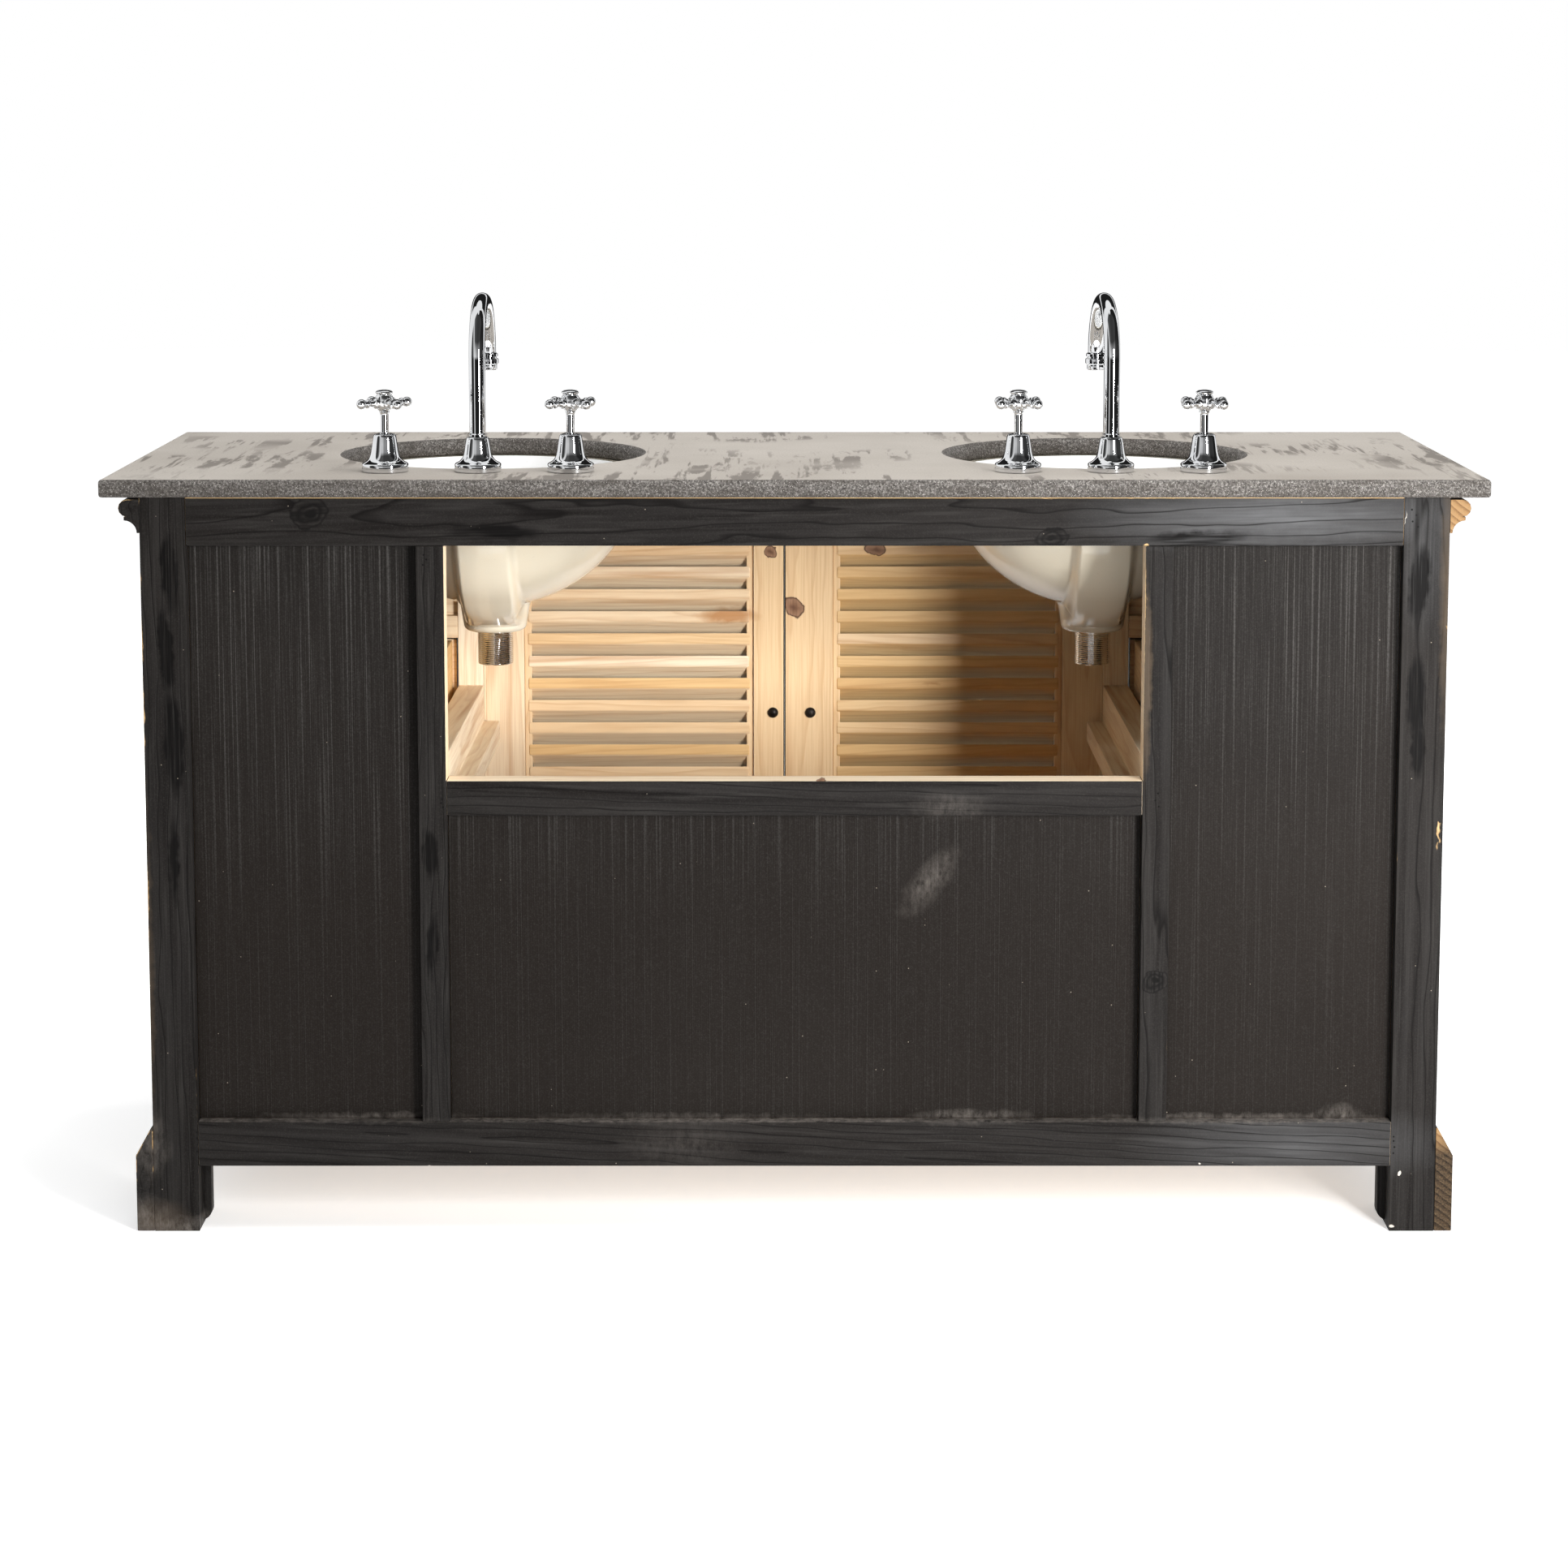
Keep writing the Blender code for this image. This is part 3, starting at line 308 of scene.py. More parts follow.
TORN_GRAIN = marks(
    0.265, 0.05,
    (0.404, 0.432, 0.012, 0.036, 0.1, 1.0),
    (0.403, 0.325, 0.010, 0.050, -0.1, 0.8),
    (0.686, 0.746, 0.013, 0.060, 0.03, 0.9),
    (0.692, 0.660, 0.011, 0.060, 0.05, 1.0),
    (0.686, 0.555, 0.014, 0.075, 0.03, 1.0),
    (0.688, 0.420, 0.009, 0.070, 0.0, 0.7),
    (-0.686, 0.735, 0.016, 0.055, -0.05, 0.9),
    (-0.686, 0.608, 0.015, 0.060, 0.0, 1.0),
    (-0.688, 0.548, 0.011, 0.040, 0.0, 0.9),
    (0.330, 0.790, 0.070, 0.014, 0.0, 0.8),
    (-0.440, 0.783, 0.080, 0.014, 0.05, 0.7),
)
BARE_KNOTS = [
    *marks(-0.216, 0.04, (-0.0010, 0.637, 0.012, 0.017, 0.7, 1.0), (0.0280, 0.706, 0.009, 0.010, 0.0, 1.0)),
    *marks(-0.220, 0.04, (-0.1020, 0.709, 0.017, 0.010, 0.0, 1.0)),
    *marks(0.262, 0.02, (-0.0300, 0.514, 0.006, 0.005, 0.0, 1.0)),
]
STAINS = marks(
    -0.218, 0.03,
    (0.082, 0.626, 0.050, 0.013, 0.0, 1.0),
    (-0.172, 0.541, 0.018, 0.003, 0.0, 0.5),
)
NAIL_HOLES = [
    (-0.671, 0.109), (-0.671, 0.104), (-0.672, 0.097), (-0.671, 0.090), (0.669, 0.114), (0.669, 0.107),
    (0.668, 0.100), (0.669, 0.092), (-0.676, 0.816), (-0.681, 0.810), (-0.677, 0.803), (-0.683, 0.797),
    (0.407, 0.766), (0.404, 0.761), (0.408, 0.755), (-0.402, 0.500), (-0.399, 0.492), (-0.403, 0.485),
    (0.390, 0.4935), (0.391, 0.489), (0.389, 0.4845),
]


def grey(level):
    return (level, level, level)


class Nodes:
    """Short calls that add shader nodes to a tree."""

    def __init__(self, tree):
        self.tree = tree

    def feed(self, socket, value):
        if isinstance(value, bpy.types.NodeSocket):
            self.tree.links.new(value, socket)
        elif isinstance(value, tuple) and len(value) == 3 and socket.type == "RGBA":
            socket.default_value = (*value, 1.0)
        else:
            socket.default_value = value

    def node(self, kind, inputs, output=0, **settings):
        made = self.tree.nodes.new(f"ShaderNode{kind}")
        for key, value in settings.items():
            setattr(made, key, value)
        for socket, value in inputs.items():
            self.feed(made.inputs[socket], value)
        return made.outputs[output]

    def attribute(self, name, output="Vector"):
        return self.node("Attribute", {}, output, attribute_name=name)

    def place(self):
        return self.node("TexCoord", {}, "Object")

    def part(self, vector, axis):
        return self.node("SeparateXYZ", {0: vector}, axis)

    def red(self, colour):
        return self.node("SeparateColor", {0: colour})

    def scaled(self, vector, factors):
        return self.node("VectorMath", {0: vector, 1: factors}, operation="MULTIPLY")

    def noise(self, vector, scale, detail=2.0, roughness=0.5, distortion=0.0):
        inputs = {"Vector": vector, "Scale": scale, "Detail": detail, "Roughness": roughness}
        return self.node("TexNoise", {**inputs, "Distortion": distortion})

    def stretched(self, vector, factors, *settings):
        """Noise with its own scale along each axis."""
        return self.noise(self.scaled(vector, factors), 1.0, *settings)

    def math(self, operation, first, second=0.0):
        return self.node("Math", {0: first, 1: second}, operation=operation)

    def plus(self, first, second):
        return self.math("ADD", first, second)

    def times(self, first, second):
        return self.math("MULTIPLY", first, second)

    def larger(self, first, second):
        return self.math("MAXIMUM", first, second)

    def span(self, value, low, high, start=0.0, end=1.0):
        """The value's place between low and high, kept within start and end."""
        inputs = {"Value": value, "From Min": low, "From Max": high, "To Min": start, "To Max": end}
        return self.node("MapRange", inputs, clamp=True)

    def mix(self, factor, first, second):
        return self.node("Mix", {0: factor, 6: first, 7: second}, 2, data_type="RGBA")

    def tint(self, colour, value, low, high, amount, hue):
        """The colour, drawn towards a hue by up to the amount as the value goes from low to high."""
        return self.mix(self.span(value, low, high, 0.0, amount), colour, hue)

    def ramp(self, factor, *stops):
        made = self.tree.nodes.new("ShaderNodeValToRGB")
        self.feed(made.inputs[0], factor)
        points = made.color_ramp.elements
        while len(points) < len(stops):
            points.new(1.0)
        for point, (position, colour) in zip(points, stops):
            point.position = position
            point.color = (*colour, 1.0)
        return made.outputs[0]

    def levels(self, factor, stops):
        """A ramp of greys."""
        return self.ramp(factor, *[(position, grey(level)) for position, level in stops])

    def cells(self, vector, scale, share):
        """Distance to the nearest of some scattered points, and 1 in the given share of their cells."""
        inputs = {"Vector": vector, "Scale": scale}
        distance = self.node("TexVoronoi", inputs, "Distance")
        chosen = self.math("GREATER_THAN", self.red(self.node("TexVoronoi", inputs, "Color")), 1 - share)
        return distance, chosen


class Shader(Nodes):
    """A Principled material. Keywords are plain values of its sockets."""

    def __init__(self, name, **plain):
        self.material = bpy.data.materials.new(name)
        self.material.use_nodes = True
        super().__init__(self.material.node_tree)
        self.principled = self.tree.nodes["Principled BSDF"]
        for socket, value in plain.items():
            self.feed(self.principled.inputs[socket.replace("_", " ")], value)

    def surface(self, colour, roughness, height=None, distance=0.001, strength=1.0):
        self.feed(self.principled.inputs["Base Color"], colour)
        self.feed(self.principled.inputs["Roughness"], roughness)
        if height is not None:
            inputs = {"Height": height, "Distance": distance, "Strength": strength}
            self.feed(self.principled.inputs["Normal"], self.node("Bump", inputs))
        return self.material


def pine_figure(s):
    """Growth rings, fibres and knots of a board, from its grain coordinates: along, across and through."""
    grain = s.attribute("grain")
    wander = s.stretched(grain, (2.2, 9.0, 9.0), 3.0)
    cell, has_knot = s.cells(s.scaled(grain, (2.7, 6.0, 1.5)), 1.0, 0.45)
    knot = s.times(s.span(cell, 0.085, 0.055), has_knot)
    halo = s.times(s.span(cell, 0.30, 0.05), has_knot)
    push = s.plus(s.span(wander, 0.0, 1.0, -0.016, 0.016), s.times(halo, 0.014))
    pith = s.node("CombineXYZ", {1: s.plus(s.part(grain, "Y"), push), 2: s.part(grain, "Z")})
    radius = s.node("VectorMath", {0: pith}, "Value", operation="LENGTH")
    ripple = s.stretched(grain, (6.0, 40.0, 40.0), 2.0)
    phase = s.math("FRACT", s.plus(s.times(radius, 105.0), s.times(ripple, 1.6)))
    ring = s.red(s.levels(phase, [(0.0, 0.0), (0.62, 0.14), (0.90, 1.0), (1.0, 0.05)]))
    fibre = s.stretched(grain, (9.0, 520.0, 160.0), 2.0, 0.6)
    return {"grain": grain, "ring": ring, "fibre": fibre, "knot": knot, "halo": halo}


def bare_colour(s, figure, tone):
    """Sanded pine: whitish to golden boards, amber rings, brown streaks and red-brown knots."""
    white, cream, straw = (0.91, 0.79, 0.61), (0.88, 0.71, 0.495), (0.84, 0.63, 0.40)
    gold, honey = (0.80, 0.56, 0.285), (0.74, 0.47, 0.20)
    pale = s.ramp(tone, (0.0, white), (0.2, cream), (0.5, straw), (0.75, gold), (1.0, honey))
    amber = s.mix(0.5, pale, (0.50, 0.25, 0.085))
    wood = s.tint(pale, figure["ring"], 0.2, 1.0, 0.62, amber)
    wood = s.tint(wood, figure["fibre"], 0.42, 0.70, 0.55, amber)
    streak = s.stretched(figure["grain"], (2.4, 60.0, 60.0), 3.0)
    wood = s.tint(wood, streak, 0.58, 0.76, 0.60, (0.50, 0.24, 0.085))
    wood = s.mix(s.times(figure["halo"], 0.35), wood, amber)
    heart = s.ramp(figure["fibre"], (0.35, (0.11, 0.04, 0.018)), (0.7, (0.30, 0.13, 0.055)))
    return s.mix(figure["knot"], wood, heart)


def placed(s, rows):
    """The strongest of some soft, frayed ellipses, each a mark with centre, reach, turn and strength."""
    shake = s.node("TexNoise", {"Vector": s.place(), "Scale": 70.0, "Detail": 3.0}, "Color")
    shake = s.node("VectorMath", {0: shake, 1: grey(0.5)}, operation="SUBTRACT")
    place = s.node("VectorMath", {0: s.place(), 1: s.scaled(shake, grey(0.012))})
    best = 0.0
    for centre, reach, turn, strength in rows:
        inputs = {"Vector": place, "Location": centre, "Rotation": (0.0, turn, 0.0), "Scale": reach}
        local = s.node("Mapping", inputs, vector_type="TEXTURE")
        ball = s.node("TexGradient", {"Vector": local}, "Fac", gradient_type="SPHERICAL")
        best = s.larger(best, s.times(ball, strength))
    return best


def nail_holes(s):
    """Small round holes in the rear face, each given by its X and Z."""
    place = s.scaled(s.place(), (1.0, 0.0, 1.0))
    nearest = 1.0
    for x, z in NAIL_HOLES:
        away = s.node("VectorMath", {0: place, 1: (x, 0.0, z)}, "Value", operation="DISTANCE")
        nearest = s.math("MINIMUM", nearest, away)
    return s.span(nearest, 0.0013, 0.0008)


def make_bare():
    """Bare pine, with the knots and stains seen on the doors and the sill."""
    s = Shader("bare_pine", Specular_IOR_Level=0.3)
    figure = pine_figure(s)
    eye = placed(s, BARE_KNOTS)
    figure["halo"] = s.larger(figure["halo"], s.span(eye, 0.0, 0.4))
    colour = bare_colour(s, figure, s.attribute("tone", "Fac"))
    bark, core = (0.085, 0.036, 0.020), (0.33, 0.185, 0.115)
    rim, heart = (0.27, 0.14, 0.08), (0.13, 0.055, 0.032)
    knot = s.ramp(eye, (0.17, bark), (0.25, bark), (0.36, core), (0.62, rim), (0.86, heart))
    knot = s.tint(knot, figure["fibre"], 0.40, 0.70, 0.55, bark)
    colour = s.tint(colour, eye, 0.14, 0.20, 0.95, knot)
    colour = s.tint(colour, placed(s, STAINS), 0.1, 0.6, 0.8, (0.46, 0.20, 0.06))
    rough = s.span(figure["ring"], 0.0, 1.0, 0.62, 0.48)
    height = s.plus(s.times(figure["ring"], 0.5), s.times(figure["fibre"], 0.5))
    return s.surface(colour, rough, height, 0.0004, 0.5)


def make_end():
    """Sawn end grain: slanting growth rings, brown with handling, and darker near the floor."""
    s = Shader("end_grain", Specular_IOR_Level=0.2)
    place = s.place()
    ripple = s.times(s.noise(place, 40.0, 3.0), 0.8)
    slope = s.node("VectorMath", {0: place, 1: (-84.0, 0.0, 116.0)}, "Value", operation="DOT_PRODUCT")
    ring = s.math("FRACT", s.plus(slope, ripple))
    saw = s.noise(s.scaled(place, (1.0, 1.0, 1.4)), 480.0, 3.0, 0.7)
    clean = [(0.0, (0.255, 0.165, 0.080)), (0.55, (0.22, 0.135, 0.060)), (0.85, (0.125, 0.070, 0.030))]
    darkened_ramp = [(0.0, (0.040, 0.028, 0.017)), (0.5, (0.030, 0.020, 0.012)), (0.8, (0.008, 0.006, 0.004))]
    colour = s.tint(s.ramp(ring, *clean), saw, 0.35, 0.7, 0.4, (0.34, 0.17, 0.07))
    # Darker towards the floor: below a Z of about 0.11 the end grain is drawn towards dark browns
    low = s.span(s.part(place, "Z"), 0.112, 0.088)
    floor_darkening = s.times(low, s.span(saw, 0.30, 0.60, 0.72, 1.0))
    colour = s.mix(floor_darkening, colour, s.ramp(ring, *darkened_ramp))
    return s.surface(colour, s.span(saw, 0.3, 0.7, 0.6, 0.8), saw, 0.0006, 0.6)


def specks(s, vector, scale, size):
    """Small bright grains, in a few of the cells."""
    distance, chosen = s.cells(vector, scale, 0.07)
    return s.times(s.span(distance, size, size * 0.6), chosen)


def panel_coat(s, figure, weathered):
    """Paint on the thin rear panels, brushed into pale streaks that fade towards the floor."""
    broad = s.span(s.stretched(figure["grain"], (2.6, 430.0, 0.0), 0.0), 0.60, 0.72)
    fine = s.span(s.stretched(figure["grain"], (7.0, 1200.0, 0.0), 1.0), 0.52, 0.72, 0.0, 0.6)
    streaks = s.times(s.larger(broad, fine), s.span(figure["grit"], 0.34, 0.58, 0.35, 1.0))
    high = s.span(s.part(s.place(), "Z"), 0.36, 0.80, 0.12, 1.0)
    colour = weathered(s.mix(high, (0.0094, 0.0071, 0.0056), (0.0100, 0.0087, 0.0078)))
    return s.mix(s.times(streaks, high), colour, (0.060, 0.0565, 0.053)), streaks


def board_coat(s, figure, weathered):
    """Paint on solid boards: growth lines, knots, torn grain, browned places, pale patches of painted sheen,
    nail holes.
    """
    eye = placed(s, PAINT_KNOTS)
    # Painted sheen: pale patches where light glances off the paint, broken up by the fibres
    painted_sheen = s.times(placed(s, PAINTED_SHEEN_MARKS), s.span(figure["fibre"], 0.30, 0.70, 0.55, 1.0))
    sweep = s.span(s.stretched(figure["grain"], (3.0, 90.0, 90.0), 3.0, 0.6), 0.30, 0.72)
    colour = weathered(s.mix(sweep, (0.0052, 0.0043, 0.0038), (0.0190, 0.0174, 0.0163)))
    colour = s.tint(colour, figure["fibre"], 0.52, 0.80, 0.6, (0.036, 0.0335, 0.031))
    # Painted sheen: the patches are mixed towards a pale bluish grey
    colour = s.mix(painted_sheen, colour, (0.112, 0.113, 0.116))
    colour = s.tint(colour, figure["ring"], 0.62, 1.0, 0.90, (0.0026, 0.0021, 0.0018))
    colour = s.tint(colour, placed(s, BROWNED), 0.0, 0.5, 0.6, (0.085, 0.062, 0.042))
    bark, wood, heart = (0.0032, 0.0028, 0.0026), (0.020, 0.018, 0.0165), (0.0026, 0.0024, 0.0022)
    knot = s.ramp(eye, (0.16, bark), (0.28, wood), (0.50, bark), (0.66, wood), (0.80, heart))
    knot = s.tint(knot, figure["fibre"], 0.42, 0.62, 0.9, heart)
    colour = s.tint(colour, eye, 0.10, 0.18, 0.9, knot)
    torn = s.times(s.span(placed(s, TORN_GRAIN), 0.14, 0.40), s.span(figure["fibre"], 0.50, 0.64, 1.0, 0.35))
    colour = s.mix(torn, colour, (0.0022, 0.0019, 0.0017))
    colour = s.mix(nail_holes(s), colour, (0.0008, 0.0007, 0.0006))
    relief = s.math("SUBTRACT", figure["fibre"], s.plus(figure["ring"], s.span(eye, 0.3, 0.5)))
    return colour, relief


def make_paint(name, coat):
    """Thin black paint that lets the grain through, dusty in places, and rubbed to the wood along edges."""
    s = Shader(name, Specular_IOR_Level=0.08)
    figure = pine_figure(s)
    place = s.place()
    cloud = s.noise(place, 3.2, 3.0)
    grit = figure["grit"] = s.noise(place, 620.0, 3.0, 0.7)

    def weathered(colour):
        colour = s.tint(colour, cloud, 0.42, 0.75, 0.35, (0.0175, 0.0147, 0.0126))
        return s.tint(colour, grit, 0.50, 0.74, 0.5, (0.034, 0.0312, 0.0285))

    colour, relief = coat(s, figure, weathered)
    fray = s.noise(s.scaled(place, (1.0, 1.0, 0.5)), 120.0, 5.0, 0.75)
    upward = s.part(s.node("NewGeometry", {}, "Normal"), "Z")
    ledge = s.times(s.span(upward, 0.55, 0.95, 0.0, 0.6), s.span(cloud, 0.3, 0.6, 0.3, 1.0))
    dust = s.times(s.larger(placed(s, DUST), ledge), s.span(fray, 0.34, 0.66))
    colour = s.mix(dust, colour, (0.26, 0.23, 0.205))
    colour = s.mix(specks(s, place, 110.0, 0.075), colour, (0.26, 0.225, 0.18))
    chips = s.span(s.stretched(figure["grain"], (14.0, 60.0, 60.0), 4.0, 0.65), 0.25, 0.75, -0.62, 0.62)
    edge = s.plus(s.attribute("wear", "Fac"), s.times(placed(s, RUBBED), 1.2))
    worn = s.span(s.plus(edge, chips), 1.02, 1.20)
    soil = s.span(fray, 0.3, 0.7, 0.25, 0.9)
    colour = s.mix(worn, colour, s.mix(soil, bare_colour(s, figure, 0.8), (0.085, 0.052, 0.028)))
    colour = s.mix(s.span(placed(s, CHIPS), 0.25, 0.35), colour, (0.48, 0.44, 0.39))
    rough = s.span(s.plus(figure["fibre"], s.times(cloud, 0.5)), 0.4, 1.1, 0.40, 0.66)
    return s.surface(colour, rough, s.math("SUBTRACT", relief, worn), 0.0004, 0.6)


def make_stone_face():
    """Honed grey stone with brushed darker blotches that run from front to back."""
    s = Shader("honed_stone", Specular_IOR_Level=0.12)
    place = s.place()
    greys = [(0.30, (0.33, 0.300, 0.265)), (0.52, (0.40, 0.368, 0.330)), (0.75, (0.47, 0.436, 0.395))]
    colour = s.ramp(s.noise(place, 2.6, 4.0, 0.6), *greys)
    broad = s.stretched(place, (30.0, 6.0, 8.0), 5.0, 0.62, 0.2)
    fingers = s.stretched(place, (78.0, 5.5, 8.0), 3.0, 0.6)
    zone = s.stretched(place, (3.4, 5.0, 1.0), 2.0)
    strokes = s.larger(s.span(broad, 0.55, 0.60), s.span(fingers, 0.56, 0.62))
    blot = s.times(strokes, s.span(zone, 0.46, 0.56))
    colour = s.mix(s.times(blot, 0.8), colour, (0.130, 0.116, 0.103))
    grain = s.noise(place, 420.0, 3.0, 0.7)
    colour = s.tint(colour, grain, 0.40, 0.72, 0.28, (0.22, 0.20, 0.18))
    rough = s.plus(s.span(blot, 0.0, 1.0, 0.58, 0.66), s.span(grain, 0.3, 0.7, -0.05, 0.07))
    return s.surface(colour, rough, grain, 0.0003, 0.35)


def make_stone_edge():
    """The same stone left rough at its edges: dark and granular, with painted shade low on the edge, and
    bright specks that are light grains with painted glints.
    """
    s = Shader("rough_stone", Specular_IOR_Level=0.2)
    place = s.place()
    grain = s.noise(place, 430.0, 4.0, 0.78)
    bands = s.noise(s.scaled(place, (0.30, 0.6, 1.5)), 95.0, 4.0, 0.65)
    greys = [(0.38, (0.026, 0.023, 0.021)), (0.54, (0.140, 0.130, 0.120)), (0.70, (0.42, 0.396, 0.370))]
    colour = s.tint(s.ramp(grain, *greys), bands, 0.40, 0.64, 0.62, (0.045, 0.038, 0.032))
    # Painted shade: the edge darkens towards its bottom, so that its top, where the rounded edge catches the
    # light, reads lighter
    colour = s.tint(colour, s.part(place, "Z"), 0.849, 0.832, 0.45, (0.040, 0.033, 0.028))
    # Painted glints: bright specks, partly light grains of the stone and partly sparkle painted into the
    # colour
    colour = s.mix(specks(s, place, 1350.0, 0.44), colour, (0.60, 0.57, 0.53))
    return s.surface(colour, s.span(grain, 0.3, 0.7, 0.62, 0.38), grain, 0.0012, 0.9)


def make_glaze(name, pale, warm):
    """Glazed ceramic with a faint unevenness of the glaze."""
    s = Shader(name, Coat_Weight=0.6, Coat_Roughness=0.04)
    place = s.place()
    pool = s.noise(place, 7.0, 2.0)
    colour = s.tint(pale, pool, 0.3, 0.7, 1.0, warm)
    pits = s.span(s.noise(place, 260.0, 2.0), 0.70, 0.78)
    colour = s.mix(s.times(pits, 0.25), colour, (0.42, 0.36, 0.28))
    return s.surface(colour, s.span(pool, 0.3, 0.7, 0.10, 0.17), pool, 0.0006, 0.10)


def make_chrome():
    """Polished chrome with a faint film on it."""
    s = Shader("polished_chrome", Metallic=1.0)
    film = s.noise(s.place(), 34.0, 3.0)
    colour = s.tint((0.80, 0.81, 0.82), film, 0.35, 0.7, 1.0, (0.70, 0.71, 0.73))
    return s.surface(colour, s.span(film, 0.4, 0.75, 0.012, 0.04))


def make_brushed():
    """The turned steel of the drain tails, with fine rings from the lathe."""
    s = Shader("turned_steel", Metallic=1.0)
    rings = s.stretched(s.place(), (30.0, 30.0, 2400.0), 2.0)
    colour = s.tint(grey(0.88), rings, 0.3, 0.7, 1.0, grey(0.72))
    return s.surface(colour, s.span(rings, 0.3, 0.7, 0.07, 0.14), rings, 0.0001, 0.3)


def make_iron():
    """Blackened iron, browner in patches."""
    s = Shader("blackened_iron", Metallic=0.75)
    patina = s.noise(s.place(), 120.0, 4.0, 0.65)
    browns = [(0.32, (0.012, 0.011, 0.011)), (0.60, (0.035, 0.030, 0.027)), (0.80, (0.09, 0.068, 0.05))]
    rough = s.span(patina, 0.3, 0.75, 0.34, 0.55)
    return s.surface(s.ramp(patina, *browns), rough, patina, 0.0004, 0.35)


WOOD = [
    make_paint("black_paint", board_coat),
    make_bare(),
    make_paint("black_panel", panel_coat),
    make_end(),
]
MATERIALS = {
    "painted_pine": WOOD,
    "raw_pine": WOOD,
    "stone": [make_stone_face(), make_stone_edge()],
    "ceramic": [
        make_glaze("ivory_glaze", (0.715, 0.67, 0.555), (0.66, 0.60, 0.475)),
        make_glaze("white_glaze", (0.92, 0.92, 0.915), (0.89, 0.89, 0.88)),
    ],
    "chrome": [make_chrome(), make_brushed()],
    "iron": [make_iron()],
}


class Piece:
    """A mesh in the making. Its face corners carry grain coordinates, a tone and wear for the materials."""

    def __init__(self):
        self.points, self.faces, self.slots = [], [], []
        self.grain, self.tone, self.wear = [], [], []

    def add(self, shape, slot=0, along=0, tone=None):
        """Takes a bmesh. slot, along and tone are numbers, or functions of a face's centre and normal."""
        first = len(self.points)
        shape.verts.index_update()
        shape.normal_update()
        worn = shape.verts.layers.float.get("wear")
        tone = draw.random() if tone is None else tone
        lean = draw.uniform(-0.06, 0.06)
        offset = Vector((draw.uniform(-9, 9), draw.uniform(-0.03, 0.03), draw.uniform(-0.05, 0.05)))
        self.points += [vertex.co.copy() for vertex in shape.verts]
        centroid = sum((vertex.co for vertex in shape.verts), Vector()) / len(shape.verts)
        for face in shape.faces:
            here = (face.calc_center_median(), face.normal)
            settings = [value(*here) if callable(value) else value for value in (along, slot, tone)]
            axis, face_slot, face_tone = settings
            self.slots.append(face_slot)
            self.faces.append([first + vertex.index for vertex in face.verts])
            for vertex in face.verts:
                near = vertex.co - centroid
                along_board, across = near[axis], near[(axis + 1) % 3]
                through = near[(axis + 2) % 3] + lean * along_board
                self.grain.append(Vector((along_board, across, through)) + offset)
                self.tone.append(face_tone)
                self.wear.append(vertex[worn] if worn else 0.0)
        shape.free()

    def finish(self, name, node, record_slot, body="cabinet", smooth=SMOOTH):
        """The finished object, which rides on a body and stands for a node."""
        mesh = bpy.data.meshes.new(name)
        mesh.from_pydata(self.points, [], self.faces)
        for material in MATERIALS[record_slot]:
            mesh.materials.append(material)
        mesh.polygons.foreach_set("material_index", self.slots)
        grain = mesh.attributes.new("grain", "FLOAT_VECTOR", "CORNER")
        grain.data.foreach_set("vector", [value for point in self.grain for value in point])
        for key, values in (("tone", self.tone), ("wear", self.wear)):
            mesh.attributes.new(key, "FLOAT", "CORNER").data.foreach_set("value", values)
        mesh.shade_smooth()
        mesh.set_sharp_from_angle(angle=smooth)
        obj = bpy.data.objects.new(name, mesh)
        bpy.context.scene.collection.objects.link(obj)
        obj.modifiers.new("even_normals", "WEIGHTED_NORMAL").keep_sharp = True
        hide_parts(node)
        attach(obj, body)


def solid(name, node, record_slot, shape, slot=0, **settings):
    """A piece of one shape."""
    piece = Piece()
    piece.add(shape, slot)
    piece.finish(name, node, record_slot, **settings)


def linked(name, shape):
    """A new object in the scene with the shape of a bmesh, which is freed."""
    mesh = bpy.data.meshes.new(name)
    shape.to_mesh(mesh)
    shape.free()
    obj = bpy.data.objects.new(name, mesh)
    bpy.context.scene.collection.objects.link(obj)
    return obj


def middle(node):
    """The X and Y of the middle of a node's box."""
    low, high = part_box(node)
    return (low.x + high.x) / 2, (low.y + high.y) / 2


def node_shape(name):
    """A copy of a CAD node's shape, its triangles joined into flat faces."""
    shape = bmesh.new()
    shape.from_mesh(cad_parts[name].data)
    bmesh.ops.remove_doubles(shape, verts=shape.verts, dist=TINY)
    bmesh.ops.dissolve_limit(shape, angle_limit=FLAT, verts=shape.verts, edges=shape.edges)
    return shape


def ringed_shape(rings, closed=False):
    """Faces between matching rings of points: capped at both ends, or closed from the last to the first."""
    shape = bmesh.new()
    made = [[shape.verts.new(point) for point in ring] for ring in rings]
    if closed:
        made.append(made[0])
    count = len(made[0])
    for first, second in zip(made, made[1:]):
        for i in range(count):
            after = (i + 1) % count
            shape.faces.new((first[i], first[after], second[after], second[i]))
    if not closed:
        shape.faces.new(list(reversed(made[0])))
        shape.faces.new(made[-1])
    bmesh.ops.recalc_face_normals(shape, faces=shape.faces)
    return shape


def prism_shape(outline, axis, start, end):
    """A flat outline pushed along an axis. Its points are in the other two axes, in X, Y, Z order."""
    return ringed_shape([[(*p[:axis], place, *p[axis:]) for p in outline] for place in (start, end)])


def box_shape(low, high):
    corners = [(low[0], low[1]), (high[0], low[1]), (high[0], high[1]), (low[0], high[1])]
    return prism_shape(corners, 2, low[2], high[2])


def split(shape, place, normal):
    """Cuts a shape's faces along a plane, and keeps both halves."""
    geom = shape.verts[:] + shape.edges[:] + shape.faces[:]
    bmesh.ops.bisect_plane(shape, geom=geom, plane_co=place, plane_no=normal)


def angled(edge, angle):
    return edge.is_manifold and edge.calc_face_angle() > angle


def bevel(shape, edges, offset, segments, **limits):
    """Rounds edges, and gives the new faces."""
    settings = {"offset": offset, "segments": segments, "profile": 0.5, "affect": "EDGES", **limits}
    return bmesh.ops.bevel(shape, geom=edges, **settings)["faces"]


